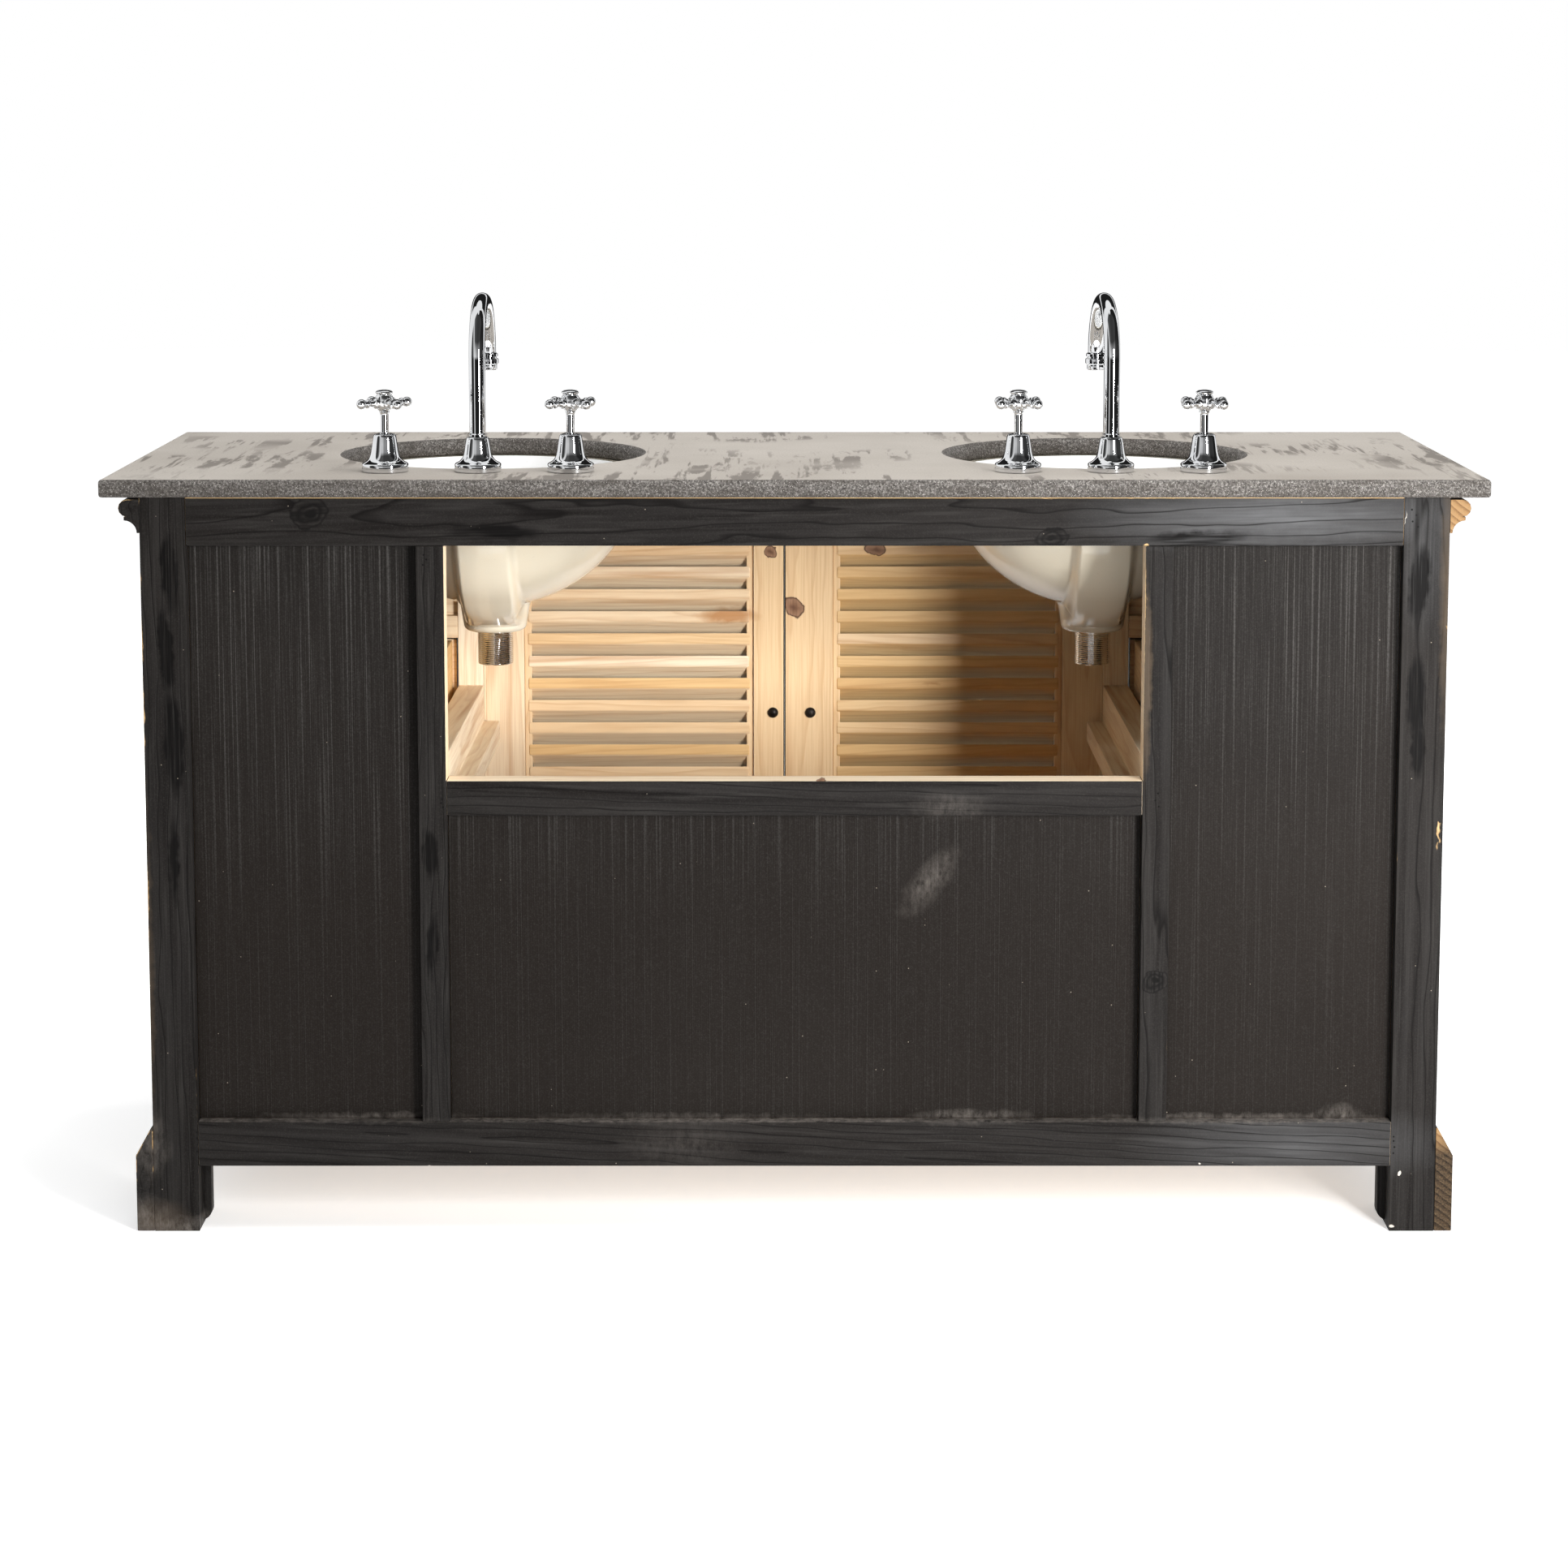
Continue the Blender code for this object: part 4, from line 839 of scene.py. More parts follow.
def ease(shape, edge=EASED_EDGE, band=WORN_BAND, wear=1.0):
    """Rounds a solid's sharp edges, and rings flat faces with a band whose outer points count as worn."""
    sharp = [e for e in shape.edges if angled(e, SHARP)]
    rounded = set(bevel(shape, sharp, edge, 2, clamp_overlap=True))
    layer = shape.verts.layers.float.new("wear")
    for vertex in shape.verts:
        vertex[layer] = wear
    flats = [face for face in shape.faces if face not in rounded]
    whole = [all(angled(e, FLAT) for e in face.edges) for face in flats]
    for face, inset in zip(flats, whole):
        if inset:
            half_width = face.calc_area() / face.calc_perimeter()
            shortest = min(e.calc_length() for e in face.edges)
            thickness = min(band, 0.6 * half_width, 0.22 * shortest)
            bmesh.ops.inset_individual(shape, faces=[face], thickness=thickness)
        for vertex in face.verts:
            vertex[layer] = 0.0
    return shape


def turned_shape(profile, steps=ROUND_STEPS, matrix=Matrix()):
    """A profile of (radius, height) points spun round Z and then moved by a matrix."""
    shape = bmesh.new()
    turns = [2 * math.pi * i / steps for i in range(steps)]
    rings = []
    for radius, height in profile:
        spots = [(radius * math.cos(t), radius * math.sin(t), height) for t in turns]
        rings.append([shape.verts.new(spot) for spot in (spots if radius > TINY else [(0.0, 0.0, height)])])
    for first, second in zip(rings, rings[1:]):
        for i in range(steps):
            after = (i + 1) % steps
            corners = [first[i % len(first)], first[after % len(first)]]
            corners += [second[after % len(second)], second[i % len(second)]]
            shape.faces.new(list(dict.fromkeys(corners)))
    bmesh.ops.recalc_face_normals(shape, faces=shape.faces)
    shape.transform(matrix)
    return shape


def arc(centre, radius, start, end, steps=8):
    """Points of a circle's arc, its angles in degrees."""
    turns = [math.radians(start + (end - start) * i / steps) for i in range(steps + 1)]
    return [(centre[0] + radius * math.cos(t), centre[1] + radius * math.sin(t)) for t in turns]


def painted(*directions):
    """A slot function: paint on faces that point in one of these directions, such as "+y"."""
    axes = {"x": 0, "y": 1, "z": 2}
    wanted = [(axes[d[1]], 1 if d[0] == "+" else -1) for d in directions]

    def slot(centre, normal):
        return PAINT if any(sign * normal[axis] > 0.5 for axis, sign in wanted) else BARE

    return slot


def painted_before(line):
    """A slot function: paint on what lies in front of a Y."""

    def slot(centre, normal):
        return PAINT if centre.y < line else BARE

    return slot


def board(node, along, slot, record_slot="painted_pine", tone=None, **easing):
    """A CAD board with eased, worn edges."""
    piece = Piece()
    piece.add(ease(node_shape(node), **easing), slot, along, tone)
    piece.finish(f"{node}_board", node, record_slot)


def lipped_board(node, along, **settings):
    """A board with paint only on its front and on the band of its sides next to it."""
    board(node, along, painted_before(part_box(node)[0].y + WORN_BAND), wear=0.6, **settings)


def rear_stile(side, outer):
    """A rear stile, whose inner edge is bare in the window and painted below it."""
    node = f"rear_stile_{side}"
    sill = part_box("rear_middle_rail")[1].z
    shape = node_shape(node)
    split(shape, (0, 0, sill), (0, 0, 1))
    below, above = painted("+y", "+x", "-x", "+z", "-z"), painted("+y", outer, "+z")

    def slot(centre, normal):
        return (above if centre.z > sill else below)(centre, normal)

    piece = Piece()
    piece.add(ease(shape, wear=0.62), slot, 2)
    piece.finish(f"{node}_board", node, "painted_pine")


def rear_panel(centre, normal):
    return PANEL if normal.y > 0.5 else BARE


def top_rail(centre, normal):
    return PAINT if normal.z < 0.3 and (normal.y > 0.5 or normal.z < -0.5) else BARE


def make_frame():
    """Posts, rails, stiles and panels: painted outside, bare inside."""
    for side, sign in SIDES.items():
        outer, inner = ("+x", "-x") if sign > 0 else ("-x", "+x")
        board(f"rear_post_{side}", 2, painted("+y", "-y", outer, inner, "-z"), wear=0.58)
        board(f"front_post_{side}", 2, painted("-y", "+y", outer, inner, "-z"), wear=0.6)
        rear_stile(side, outer)
        lipped_board(f"front_stile_{side}", 2, tone=0.0)
        board(f"side_panel_{side}", 2, painted(outer, "+y", "-y", "+z", "-z"), wear=0.66)
        board(f"apron_{side}", 0, painted("-y", "-z"), wear=0.66)
        board(f"rear_panel_{side}", 2, rear_panel, tone=0.4, wear=0.0)
        board(f"partition_rail_{side}", 1, BARE, record_slot="raw_pine", tone=0.05)
        lipped_board(f"drawer_web_{side}", 1, record_slot="raw_pine", tone=0.4)
    board("rear_panel_lower", 2, rear_panel, tone=0.35, wear=0.0)
    board("rear_top_rail", 0, top_rail, wear=0.5)
    board("rear_middle_rail", 0, painted("+y", "-z"), tone=0.05, wear=0.56)
    board("rear_bottom_rail", 0, painted("+y", "+z", "-z"), wear=0.56)
    board("front_top_rail", 0, painted("-y", "-z"), wear=0.66)
    board("front_bottom_rail", 0, painted("-y", "+z", "-z"), wear=0.7)
    board("floor_board", 0, BARE, record_slot="raw_pine", tone=0.4)


def make_mouldings():
    """Crown and plinth, painted, with bare end grain at the rear of one end as in the photograph."""
    body_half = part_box("rear_post_right")[1].x

    def run(centre, normal):
        return 1 if abs(centre.x) > body_half or abs(normal.y) < 0.3 and abs(normal.x) > 0.5 else 0

    def crown_slot(centre, normal):
        if normal.y > 0.7 and centre.x < -body_half:
            return END
        return BARE if abs(centre.x) < body_half and normal.y > 0.7 else PAINT

    def plinth_slot(centre, normal):
        if centre.x < -body_half and centre.y > END_GRAIN_FROM and (normal.y > 0.7 or normal.z > 0.3):
            return END
        return BARE if abs(centre.x) < body_half and normal.y > 0.7 else PAINT

    board("crown_moulding", run, crown_slot, edge=0.0004, wear=0.62)
    board("plinth", run, plinth_slot, edge=0.0016, wear=0.68)


def make_door(side, sign):
    """A louvre door of stiles, rails, notched strips and slats, black outside and bare inside."""
    low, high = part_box(f"door_{side}")
    edges = sorted((sign * FIELD_HALF_GAP, (high.x - DOOR_STILE) if sign > 0 else (low.x + DOOR_STILE)))
    field_low, field_high = low.z + DOOR_RAIL, high.z - DOOR_RAIL
    paint_line = (low.y + high.y) / 2
    piece = Piece()

    def add(first, second, along, edge=EASED_EDGE, tones=DOOR_TONES):
        shape = box_shape(first, second)
        split(shape, (0, paint_line, 0), (0, 1, 0))
        shape = ease(shape, edge, wear=DOOR_WEAR)
        piece.add(shape, painted_before(paint_line), along, draw.uniform(*tones))

    beside = (edges[0] - STRIP_WIDTH, edges[1] + STRIP_WIDTH)
    hung = (beside[1], high.x) if sign > 0 else (low.x, beside[0])
    add((hung[0], low.y, low.z), (hung[1], high.y, high.z), 2, tones=HUNG_TONES)
    stile_low, stile_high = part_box(f"front_stile_{side}")
    gap = (high.x, stile_low.x - HUNG_GAP) if sign > 0 else (stile_high.x + HUNG_GAP, low.x)
    heights = [low.z]
    for level in ("lower", "upper"):
        heights += [corner.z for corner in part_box(f"hinge_{level}_{side}")]
    heights.append(high.z)
    for foot, head in zip(heights[::2], heights[1::2]):
        first, second = (gap[0], low.y, foot + HINGE_GAP), (gap[1], high.y, head - HINGE_GAP)
        add(first, second, 2, HUNG_EDGE, HUNG_TONES)

    inner = beside[0] if sign > 0 else beside[1]
    seam = (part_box("door_left")[1].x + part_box("door_right")[0].x) / 2
    ahead, behind = seam + sign * SEAM_AHEAD, seam + sign * SEAM_BEHIND
    outline = [(inner, low.y), (inner, high.y), (behind, high.y), (ahead, low.y)]
    stile = ease(prism_shape(outline, 2, low.z, high.z), MEETING_EDGE, wear=DOOR_WEAR)
    piece.add(stile, painted("-y", "-x" if sign > 0 else "+x"), 2, draw.uniform(*MEETING_TONES))

    inner_low, inner_high = beside[0] + JOINT_SEAM, beside[1] - JOINT_SEAM
    add((inner_low, low.y, low.z), (inner_high, high.y, field_low), 0)
    add((inner_low, low.y, field_high), (inner_high, high.y, high.z), 0)
    near, far = low.y + STRIP_RECESS, high.y - STRIP_RECESS
    for start, end in ((inner_low, edges[0]), (edges[1], inner_high)):
        add((start, near, field_low - STRIP_OVERLAP), (end, far, field_high + STRIP_OVERLAP), 2)

    near, far = low.y + SLAT_RECESS, high.y - SLAT_RECESS
    drop = far - near

    def slat_slot(centre, normal):
        return PAINT if normal.y < -0.5 or normal.y < 0.1 and normal.z > 0.3 else BARE

    # Painted shade: undersides take a tone set per door in place of the slat's own
    def slat_tone_with_shade(edge):
        return lambda centre, normal: SLAT_UNDERSIDE_SHADE[side] + 0.3 * edge if normal.z < -0.3 else edge

    top = field_high
    while top - SLAT_EDGE > field_low:
        outline = [(far, top), (far, top - SLAT_EDGE), (near, top - SLAT_EDGE - drop), (near, top - drop)]
        start = edges[0] - SLAT_TENON + draw.uniform(-SLAT_STRAY, SLAT_STRAY)
        slat = prism_shape(outline, 0, start, edges[1] + SLAT_TENON)
        slat = ease(slat, SLAT_ROUND * draw.uniform(0.5, 1.0), SLAT_BAND, SLAT_WEAR)
        piece.add(slat, slat_slot, 0, slat_tone_with_shade(draw.uniform(*SLAT_TONES_WITH_SHADE[side])))
        top -= SLAT_PITCH
    piece.finish(f"louvre_{side}", f"door_{side}", "raw_pine", f"door_{side}")


def make_knob(node, body):
    """A turned knob, and the domed screw head behind its board."""
    low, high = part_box(node)
    radius, end = (high.x - low.x) / 2, high.y - low.y
    profile = [(0.0, 0.0)]
    profile += [(radius * x, KNOB_HALF * (1 + z)) for x, z in arc((0.0, 0.0), 1.0, -90, 40, 12)[1:]]
    profile += KNOB_NECK + [(KNOB_SCREW, KNOB_SCREW_FROM), (KNOB_SCREW, end - SCREW_DOME - 0.0006)]
    profile += [(SCREW_HEAD - 0.0004, end - SCREW_DOME - 0.0005), (SCREW_HEAD, end - SCREW_DOME)]
    dome = [(math.cos(t), 1 - math.sin(t)) for t in (0.4, 0.8, 1.2)]
    profile += [(SCREW_HEAD * x, end - SCREW_DOME * z) for x, z in dome]
    profile += [(0.0012, end - 0.00002), (0.001, end - SCREW_SLOT), (0.0, end - SCREW_SLOT)]
    place = Matrix.Translation(((low.x + high.x) / 2, low.y, (low.z + high.z) / 2))
    shape = turned_shape(profile, KNOB_SIDES, place @ Matrix.Rotation(-math.pi / 2, 4, "X"))
    solid(f"{node}_turned", node, "iron", shape, body=body)


def make_hinge(node):
    """A butt hinge: five knuckles, ball tips and a leaf."""
    low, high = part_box(node)
    sign = 1 if low.x > 0 else -1
    axis_y = low.y + HINGE_BARREL
    tip = HINGE_TIP[-1][1]
    foot, head = low.z + tip, high.z - tip
    knuckle = (head - foot) / HINGE_KNUCKLES
    profile = [(radius, low.z + away) for radius, away in HINGE_TIP]
    shape = [(0.0006, 0.0001), (0.0, 0.0007), (0.0, knuckle - 0.0007), (0.0006, knuckle - 0.0001)]
    for i in range(HINGE_KNUCKLES):
        profile += [(HINGE_BARREL - inset, foot + i * knuckle + rise) for inset, rise in shape]
    profile += [(radius, high.z - away) for radius, away in reversed(HINGE_TIP)]
    piece = Piece()
    piece.add(turned_shape(profile, 24, Matrix.Translation((sign * HINGE_AXIS, axis_y, 0))))
    leaf = sorted(sign * x for x in HINGE_LEAF)
    piece.add(ease(box_shape((leaf[0], axis_y, foot), (leaf[1], high.y, head)), 0.0003, 0.001))
    piece.finish(f"{node}_knuckles", node, "iron")


def make_drawer(node):
    """A drawer of separate boards: a painted front and a bare box behind it."""
    low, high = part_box(node)
    behind = low.y + DRAWER_FRONT
    sides = (low.x + DRAWER_SIDE_GAP, high.x - DRAWER_SIDE_GAP)
    inside = (sides[0] + DRAWER_WALL, sides[1] - DRAWER_WALL)
    floor, top, back = low.z, high.z - DRAWER_TOP_GAP, high.y - DRAWER_WALL
    piece = Piece()

    def add(first, second, along, slot=BARE, **easing):
        piece.add(ease(box_shape(first, second), **easing), slot, along)

    all_but_back = painted("-y", "+x", "-x", "+z", "-z")
    add((low.x, low.y, low.z + DRAWER_FOOT_GAP), (high.x, behind, high.z), 0, all_but_back, wear=0.72)
    for near, far in ((sides[0], inside[0]), (inside[1], sides[1])):
        add((near, behind + DRAWER_SEAM, floor), (far, high.y, top), 1)
    add((inside[0], back, floor), (inside[1], high.y, top - DRAWER_BACK_DROP), 0)
    first = (inside[0], behind + DRAWER_SEAM, floor + DRAWER_BOTTOM_RISE)
    add(first, (inside[1], back, floor + DRAWER_BOTTOM), 0)
    piece.finish(f"{node}_boards", node, "painted_pine", node)


def make_stone_top():
    """The slab: eased edges all round, and eased holes for the basins and the taps."""
    low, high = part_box("stone_top")
    slab = linked("slab", box_shape(low, high))
    cutters, centres = [], []
    ends = (high.z + CUTTER_REACH, low.z - CUTTER_REACH)
    for side in SIDES:
        centres.append(middle(f"waste_{side}"))
        holes = [(centres[-1], CUTOUT_RADIUS, 128)]
        for tap in ("tap_base_hot", "spout_base", "tap_base_cold"):
            holes.append((middle(f"{tap}_{side}"), TAP_HOLE_RADIUS, 24))
        for place, radius, steps in holes:
            profile = [(0.0, ends[0]), (radius, ends[0]), (radius, ends[1]), (0.0, ends[1])]
            cutter = linked("cutter", turned_shape(profile, steps, Matrix.Translation((*place, 0))))
            cutters.append(cutter)
            hole = slab.modifiers.new("hole", "BOOLEAN")
            hole.operation, hole.object, hole.solver = "DIFFERENCE", cutter, "EXACT"
    bpy.context.view_layer.update()
    cut = bpy.data.meshes.new_from_object(slab.evaluated_get(bpy.context.evaluated_depsgraph_get()))
    for scratch in (slab, *cutters):
        bpy.data.objects.remove(scratch, do_unlink=True)
    shape = bmesh.new()
    shape.from_mesh(cut)
    bmesh.ops.remove_doubles(shape, verts=shape.verts, dist=TINY)

    def level_edges():
        sharp = [e for e in shape.edges if angled(e, SHARP)]
        return [e for e in sharp if abs(e.verts[0].co.z - e.verts[1].co.z) < TINY]

    def on_cutout(edge):
        halfway = (edge.verts[0].co + edge.verts[1].co) / 2
        away = min(math.hypot(halfway.x - x, halfway.y - y) for x, y in centres)
        return halfway.z > high.z - TINY and abs(away - CUTOUT_RADIUS) < 0.002

    bevel(shape, [e for e in level_edges() if on_cutout(e)], CUTOUT_EDGE, 6)
    bevel(shape, level_edges(), STONE_EDGE, 4)

    def slot(centre, normal):
        return 0 if normal.z > 0.93 else 1

    solid("stone_slab", "stone_top", "stone", shape, slot)


def bowl_wall(top, radius, depth, first_drop, last_radius, steps=24):
    """Points down an elliptic wall, from first_drop below the top to where it closes to last_radius."""
    first, last = math.asin(first_drop / depth), math.acos(last_radius / radius)
    angles = [first + (last - first) * i / steps for i in range(steps + 1)]
    return [(radius * math.cos(a), top - depth * math.sin(a)) for a in angles]


def smooth_step(value, low, high):
    share = min(1.0, max(0.0, (value - low) / (high - low)))
    return share * share * (3 - 2 * share)


def make_basin(side):
    """A glazed bowl: rim, wall with an overflow rib down its rear, tapered drain boss, white inside."""
    low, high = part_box(f"basin_{side}")
    x, y = middle(f"waste_{side}")
    top, rim = high.z, (high.x - low.x) / 2
    under = top - RIM_THICKNESS
    wall = bowl_wall(top, BOWL_RADIUS, BOWL_DEPTH, RIM_THICKNESS, BOSS_RADIUS + BOSS_FLARE, 28)
    boss, neck = low.z, wall[-1][1] - NECK_DROP
    outside = [(rim - RIM_ROUND, top), (rim, top - RIM_ROUND)]
    outside += [(rim, under + RIM_ROUND), (rim - RIM_ROUND, under)]
    first_rib = len(outside)
    bridge_from = first_rib + len(wall) - RIB_BRIDGE
    outside += wall + [(BOSS_RADIUS + 0.0018, wall[-1][1] - 0.002), (BOSS_RADIUS, neck)]
    for share in [i / 6 for i in range(1, 6)]:
        outside.append((BOSS_RADIUS - BOSS_TAPER * share, neck + (boss + BOSS_ROUND - neck) * share))
    last_rib = len(outside)
    foot = BOSS_RADIUS - BOSS_TAPER - BOSS_ROUND
    outside += arc((foot, boss + BOSS_ROUND), BOSS_ROUND, 0, -90, 6) + [(DRAIN_HOLE, boss)]
    inner = bowl_wall(top, BOWL_RADIUS - BOWL_WALL, BOWL_DEPTH - BOWL_WALL, 0.0, DRAIN_RADIUS)
    drain = inner[-1][1]
    inside = [(DRAIN_HOLE, drain)] + list(reversed(inner)) + [(inner[0][0] + 0.001, top)]
    profile = [Vector(point) for point in outside + inside]

    def outward(k):
        run = profile[k + 1] - profile[k - 1]
        return RIB_DEPTH * Vector((-run.y, run.x)).normalized()

    bridge_start = profile[bridge_from] + outward(bridge_from)
    turns = [math.radians(90 + 0.75 * i) for i in range(-56, 57)]
    turns += [math.radians(132 + 276 * i / 70) for i in range(1, 70)]
    rings = []
    for k, (radius, height) in enumerate(profile):
        move = Vector((0.0, 0.0))
        if first_rib <= k < bridge_from:
            move = smooth_step(k, 3, 6) * outward(k)
        elif bridge_from <= k < last_rib:
            share = (k - bridge_from) / (last_rib - bridge_from)
            sag = RIB_SAG * math.sin(math.pi * share)
            move = bridge_start.lerp(profile[last_rib], share) + Vector((0.3, -1.0)) * sag - profile[k]
        ring = []
        for turn in turns:
            place = Vector((radius * math.cos(turn), radius * math.sin(turn), height))
            if place.y > 0:
                share = 1 - smooth_step(abs(place.x), *RIB_SHOULDER)
                place.y += share * move.x
                place.z += share * move.y
            ring.append((x + place.x, y + place.y, place.z))
        rings.append(ring)

    def slot(centre, normal):
        away = math.hypot(centre.x - x, centre.y - y)
        inward = (centre.x - x) * normal.x + (centre.y - y) * normal.y < 0
        within = away < BOWL_RADIUS - BOWL_WALL + 0.002 and centre.z > drain - 0.001
        return 1 if within and (inward or normal.z > 0.5) else 0

    shape = ringed_shape(rings, closed=True)
    solid(f"basin_{side}_glazed", f"basin_{side}", "ceramic", shape, slot, smooth=GLAZE_SMOOTH)


def make_waste(side):
    """The drain fitting: a domed flange crossed by bars, and a tail with a cut thread."""
    low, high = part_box(f"waste_{side}")
    x, y = middle(f"waste_{side}")
    flange = (high.x - low.x) / 2
    seat = high.z - WASTE_FLANGE
    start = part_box(f"basin_{side}")[0].z + THREAD_START
    turns = [2 * math.pi * i / THREAD_SIDES for i in range(THREAD_SIDES)]
    rings = []

    def ring(height, radii):
        rings.append([(x + r * math.cos(t), y + r * math.sin(t), height) for t, r in zip(turns, radii)])

    profile = [(WASTE_BORE, seat + 0.0005), (WASTE_BORE + 0.001, seat + 0.0018), (flange - 0.008, high.z)]
    profile += [(flange - 0.003, high.z - 0.0006), (flange - 0.0003, seat + 0.0008), (flange, seat)]
    for radius, height in profile + [(WASTE_RADIUS, seat - 0.0002)]:
        ring(height, [radius] * THREAD_SIDES)
    rows = int((start - low.z) / THREAD_PITCH * THREAD_ROWS)
    for row in range(rows + 1):
        height = start + (low.z - start) * row / rows
        fade = smooth_step(start - height, 0.0, THREAD_FADE)
        last = smooth_step(height - low.z, 0.0, THREAD_END)
        crests = [abs(2 * ((height / THREAD_PITCH + t / (2 * math.pi)) % 1.0) - 1) for t in turns]
        ring(height, [WASTE_RADIUS - THREAD_DEPTH * (crest * fade + (1 - last) * 0.8) for crest in crests])
    for radius, height in ((WASTE_BORE + 0.0006, low.z), (WASTE_BORE, low.z + 0.0008)):
        ring(height, [radius] * THREAD_SIDES)

    def slot(centre, normal):
        return 1 if centre.z < start else 0

    piece = Piece()
    piece.add(ringed_shape(rings, closed=True), slot)
    for wide, deep in (WASTE_BAR, reversed(WASTE_BAR)):
        bar = box_shape((x - wide, y - deep, seat - 0.004), (x + wide, y + deep, seat + 0.0015))
        piece.add(ease(bar, 0.0006, 0.001))
    piece.finish(f"waste_{side}_fitting", f"waste_{side}", "chrome")


def make_base(node):
    """A tap base from its top down: rounded shoulder, cone, flare, grooved flange, then nut and shank."""
    low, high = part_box(node)
    slab_low, slab_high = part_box("stone_top")
    top, foot, nut = high.z, slab_high.z + DECK_GAP, slab_low.z - DECK_GAP
    radius = (high.x - low.x) / 2
    profile = [(r, top - drop) for r, drop in BELL_SHOULDER]
    profile += [(r, top - share * (top - foot)) for r, share in BELL_CONE_SHARES]
    profile += [(r, foot + rise) for r, rise in BELL_FLARE_RISES]
    profile += [(radius - inset, foot + rise) for inset, rise in FLANGE_INSETS]
    profile += [(SHANK, foot), (SHANK, nut), (BACKNUT, nut)]
    profile += [(BACKNUT, nut - BACKNUT_HEIGHT), (SHANK, nut - BACKNUT_HEIGHT)]
    profile += [(SHANK, low.z + 0.001), (SHANK - 0.001, low.z), (0.0, low.z)]
    shape = turned_shape(profile, ROUND_STEPS, Matrix.Translation((*middle(node), 0)))
    solid(f"{node}_bell", node, "chrome", shape)


def make_handle(node, turn):
    """A cross handle: spindle, turned hub with a domed cap, and four arms that end in balls."""
    x, y = middle(node.replace("handle", "base"))
    low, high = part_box(node)
    profile = [(radius, high.z - drop) for radius, drop in HANDLE_HUB]
    profile += [(radius, low.z + rise) for radius, rise in SPINDLE_RISES]
    piece = Piece()
    piece.add(turned_shape(profile, 32, Matrix.Translation((x, y, 0))))
    ball = [math.radians(angle) for angle in range(40, 176, 15)]
    arm = ARM_REACHES + [(BALL_RADIUS * math.sin(t), BALL_REACH - BALL_RADIUS * math.cos(t)) for t in ball]
    arm.append((0.0, BALL_REACH + BALL_RADIUS))
    centre = Matrix.Translation((x, y, high.z - ARM_DROP))
    lie = Matrix.Rotation(math.pi / 2, 4, "Y")
    for quarter in range(4):
        swing = Matrix.Rotation(math.radians(turn + 90 * quarter), 4, "Z")
        piece.add(turned_shape(arm, 20, centre @ swing @ lie))
    piece.finish(f"{node}_cross", node, "chrome", node)


def make_spout(side):
    """A gooseneck tube with a ring at its foot and a stepped outlet with an aerator."""
    x, y = middle(f"spout_base_{side}")
    low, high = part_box(f"spout_{side}")
    spring = high.z - SPOUT_TUBE - SPOUT_BEND
    stations = [(0.0, low.z + rise, 0.0, SPOUT_TUBE + extra) for extra, rise in SPOUT_COLLAR]
    stations.append((0.0, spring - 0.02, 0.0, SPOUT_TUBE))
    for lean in [math.pi * i / SPOUT_BEND_STEPS for i in range(SPOUT_BEND_STEPS + 1)]:
        along, rise = SPOUT_BEND * (math.cos(lean) - 1), SPOUT_BEND * math.sin(lean)
        stations.append((along, spring + rise, lean, SPOUT_TUBE))
    stations += [(-2 * SPOUT_BEND, spring - drop, math.pi, radius) for radius, drop in SPOUT_OUTLET]
    turns = [2 * math.pi * k / SPOUT_SIDES for k in range(SPOUT_SIDES)]
    rings = []
    for along, height, lean, radius in stations:
        outward = Vector((0, math.cos(lean), math.sin(lean)))
        offsets = [radius * (math.cos(t) * outward + math.sin(t) * Vector((1, 0, 0))) for t in turns]
        rings.append([Vector((0, along, height)) + offset for offset in offsets])
    shape = ringed_shape(rings)
    shape.transform(Matrix.Translation((x, y, 0)) @ Matrix.Rotation(SPOUT_TURN[side], 4, "Z"))
    solid(f"spout_{side}_tube", f"spout_{side}", "chrome", shape, body=f"spout_{side}")


def make_object():
    make_frame()
    make_mouldings()
    make_stone_top()
    for side, sign in SIDES.items():
        make_door(side, sign)
        make_knob(f"door_knob_{side}", f"door_{side}")
        for level in ("upper", "lower"):
            make_hinge(f"hinge_{level}_{side}")
            make_drawer(f"drawer_{level}_{side}")
            make_knob(f"drawer_knob_{level}_{side}", f"drawer_{level}_{side}")
        make_basin(side)
        make_waste(side)
        make_base(f"spout_base_{side}")
        make_spout(side)
        for hand in ("hot", "cold"):
            make_base(f"tap_base_{hand}_{side}")
            make_handle(f"tap_handle_{hand}_{side}", HANDLE_TURN[f"{hand}_{side}"])


def seen_directly(s):
    """1 for rays from the camera, a mirror-like surface or a clear one, and 0 for rays that carry light."""
    path = s.tree.nodes.new("ShaderNodeLightPath").outputs
    seen = s.larger(path["Is Camera Ray"], path["Is Glossy Ray"])
    return s.larger(seen, path["Is Transmission Ray"])


def make_floor():
    """A pale floor that keeps the shadow, and is white where it is seen."""
    shape = bmesh.new()
    bmesh.ops.create_circle(shape, cap_ends=True, segments=96, radius=FLOOR_RADIUS)
    floor = linked("floor", shape)
    floor.location.z = -FLOOR_GAP
    s = Shader("white_floor", Base_Color=grey(0.86), Roughness=0.9, Specular_IOR_Level=0.0)
    away = s.node("VectorMath", {0: s.place()}, "Value", operation="LENGTH")
    lift = s.times(seen_directly(s), s.span(away, 0.9, 2.4, 0.45, 1.0))
    glow = s.node("Emission", {"Color": grey(1.0), "Strength": lift})
    both = s.node("AddShader", {0: s.principled.outputs[0], 1: glow})
    s.tree.links.new(both, s.tree.nodes["Material Output"].inputs["Surface"])
    floor.data.materials.append(s.material)


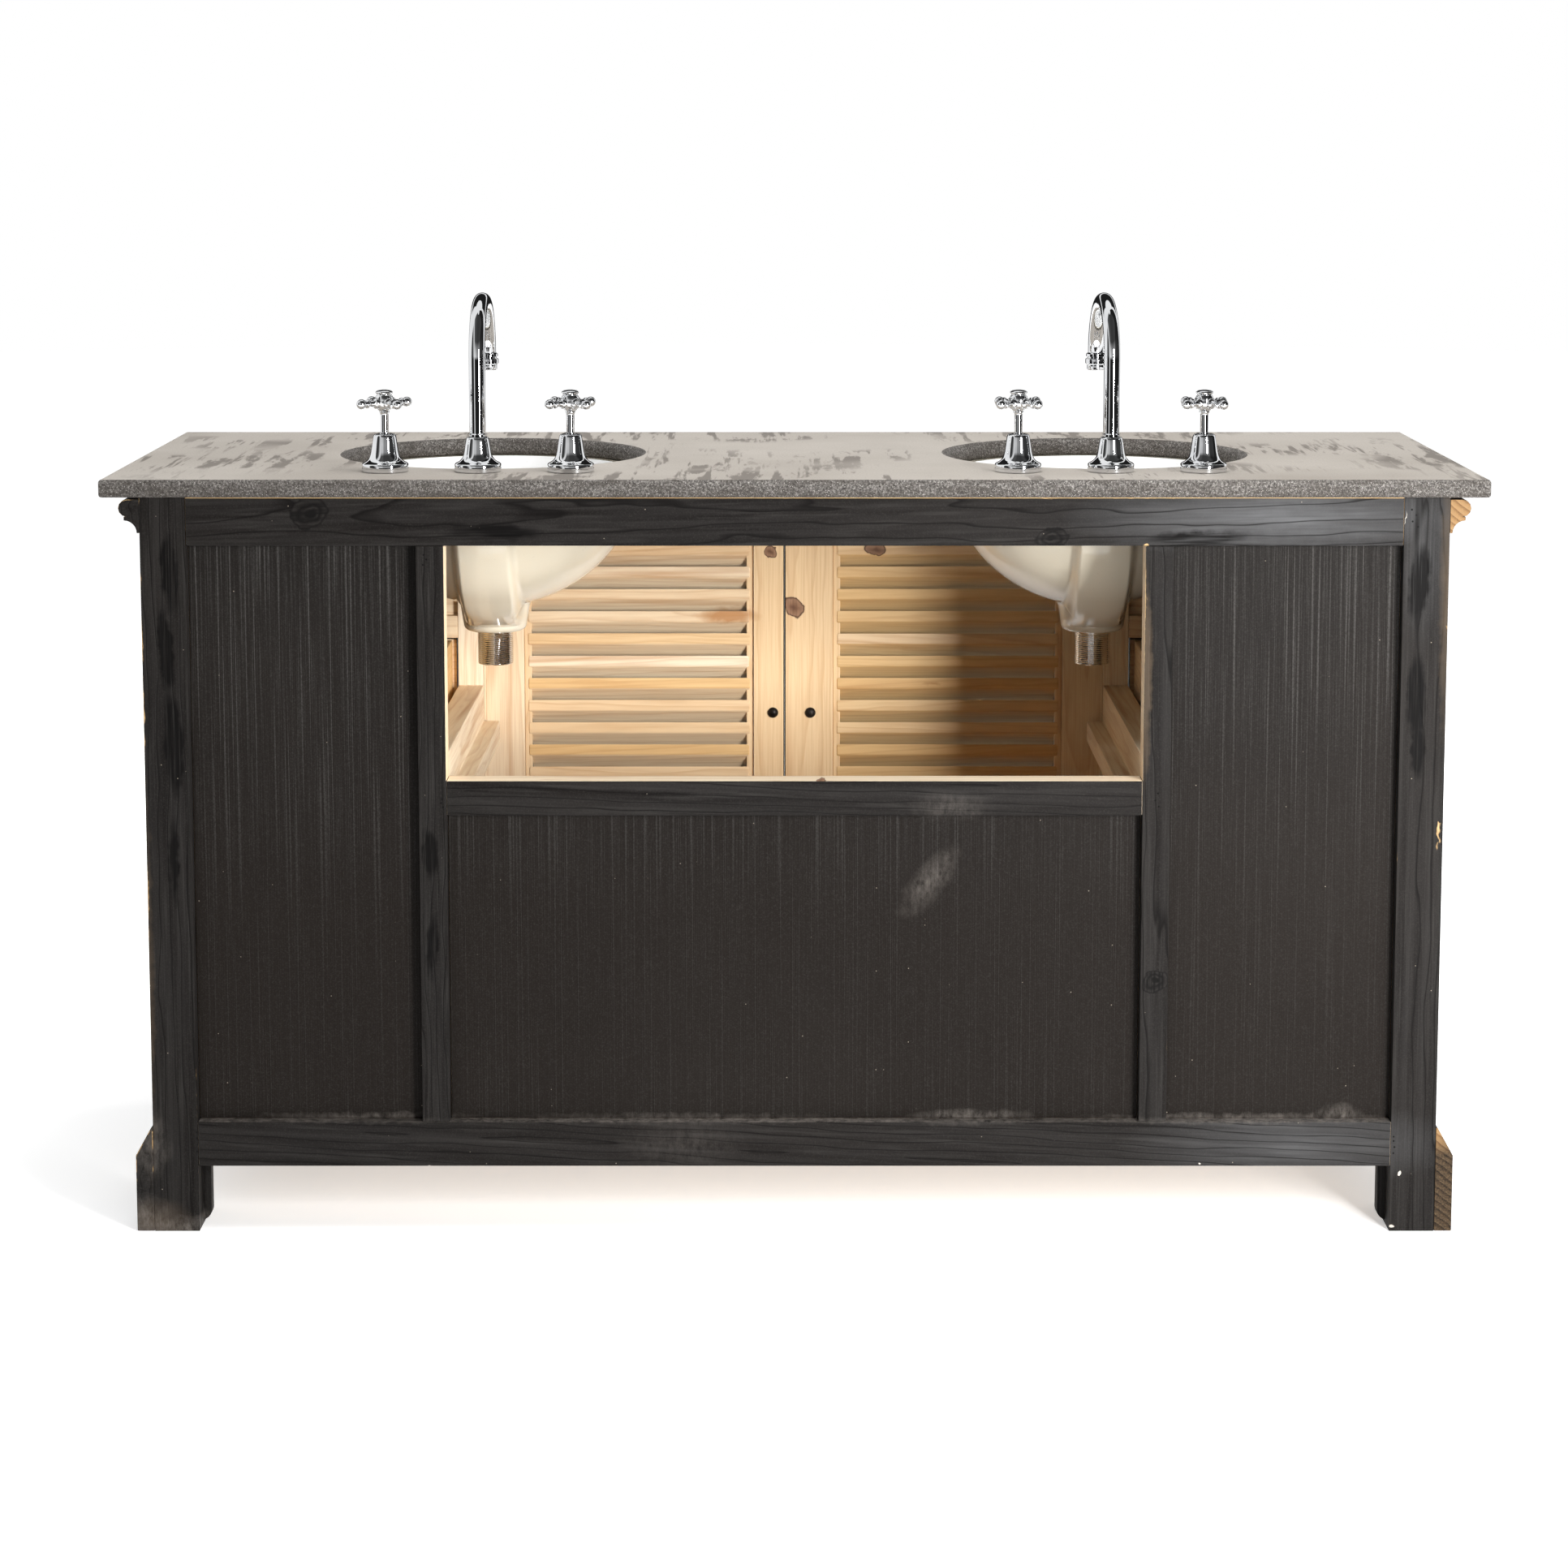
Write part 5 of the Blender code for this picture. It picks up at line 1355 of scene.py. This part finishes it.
def wall_material():
    """Dark walls with lit panels, whose level follows the place along the wall and the height."""
    s = Shader("studio_wall", Base_Color=grey(0.0), Roughness=1.0, Specular_IOR_Level=0.0)
    along, depth, height = [s.part(s.place(), axis) for axis in "XYZ"]
    panels = s.levels(s.span(along, -STUDIO_RADIUS, STUDIO_RADIUS), WALL_PANELS)
    rise = s.levels(s.math("DIVIDE", height, STUDIO_RADIUS), WALL_RISE)
    strip = s.times(s.span(along, 2.5, 2.8, 0.0, 0.9), s.span(along, 3.8, 3.5))
    level = s.times(s.times(panels, s.larger(rise, strip)), s.span(depth, 0.2, 0.6))
    s.feed(s.principled.inputs["Emission Color"], grey(1.0))
    s.feed(s.principled.inputs["Emission Strength"], s.plus(level, 0.015))
    return s.material


def reflected_sheet(name, rows, material):
    """A sheet between rows of points, seen only in reflections."""
    shape = bmesh.new()
    grid = [[shape.verts.new(point) for point in row] for row in rows]
    for first, second in zip(grid, grid[1:]):
        for i in range(len(first) - 1):
            shape.faces.new((first[i], first[i + 1], second[i + 1], second[i]))
    sheet = linked(name, shape)
    sheet.data.materials.append(material)
    sheet.visible_camera = sheet.visible_diffuse = sheet.visible_shadow = sheet.visible_transmission = False


def make_walls():
    """Parts of a dome round the object, and a dark card on the floor, for the metal to reflect."""
    material = wall_material()
    for name, (start, end, low, top) in WALLS.items():
        turns = [math.radians(start + (end - start) * i / WALL_STEPS) for i in range(WALL_STEPS + 1)]
        rows = []
        for tilt in [math.radians(degrees) for degrees in range(low, top + 1, 2)]:
            reach, above = STUDIO_RADIUS * math.cos(tilt), STUDIO_RADIUS * math.sin(tilt)
            rows.append([(reach * math.cos(t), reach * math.sin(t), above) for t in turns])
        reflected_sheet(name, rows, material)
    across, away, height = FLOOR_CARD
    reflected_sheet("floor_card", [[(x, y, height) for x in across] for y in away], material)


def make_world():
    """White where it is seen, and a faint light elsewhere."""
    world = bpy.data.worlds.new("studio")
    world.use_nodes = True
    bpy.context.scene.world = world
    s = Nodes(world.node_tree)
    light = s.mix(seen_directly(s), (0.05, 0.05, 0.051), grey(1.0))
    s.feed(s.tree.nodes["Background"].inputs["Color"], light)


def make_lamps():
    """Soft lamps, of which metal shows only the key."""
    for name, (place, target, size, power) in LAMPS.items():
        data = bpy.data.lights.new(name, "AREA")
        data.shape = "RECTANGLE"
        data.size, data.size_y = size
        data.energy = power
        lamp = bpy.data.objects.new(name, data)
        lamp.location = place
        lamp.rotation_euler = (Vector(target) - Vector(place)).to_track_quat("-Z", "Y").to_euler()
        lamp.visible_camera = False
        lamp.visible_glossy = name == "key"
        bpy.context.scene.collection.objects.link(lamp)


def make_camera():
    data = bpy.data.cameras.new("camera")
    data.lens, data.sensor_width = CAMERA_LENS, CAMERA_SENSOR
    data.shift_x, data.shift_y = CAMERA_SHIFT
    camera = bpy.data.objects.new("camera", data)
    camera.location = CAMERA_PLACE
    camera.rotation_euler = (math.pi / 2 - CAMERA_PITCH, 0.0, math.pi)
    bpy.context.scene.collection.objects.link(camera)
    bpy.context.scene.camera = camera


make_object()
make_floor()
make_walls()
make_world()
make_lamps()
make_camera()
bpy.context.scene.view_settings.view_transform = "Standard"
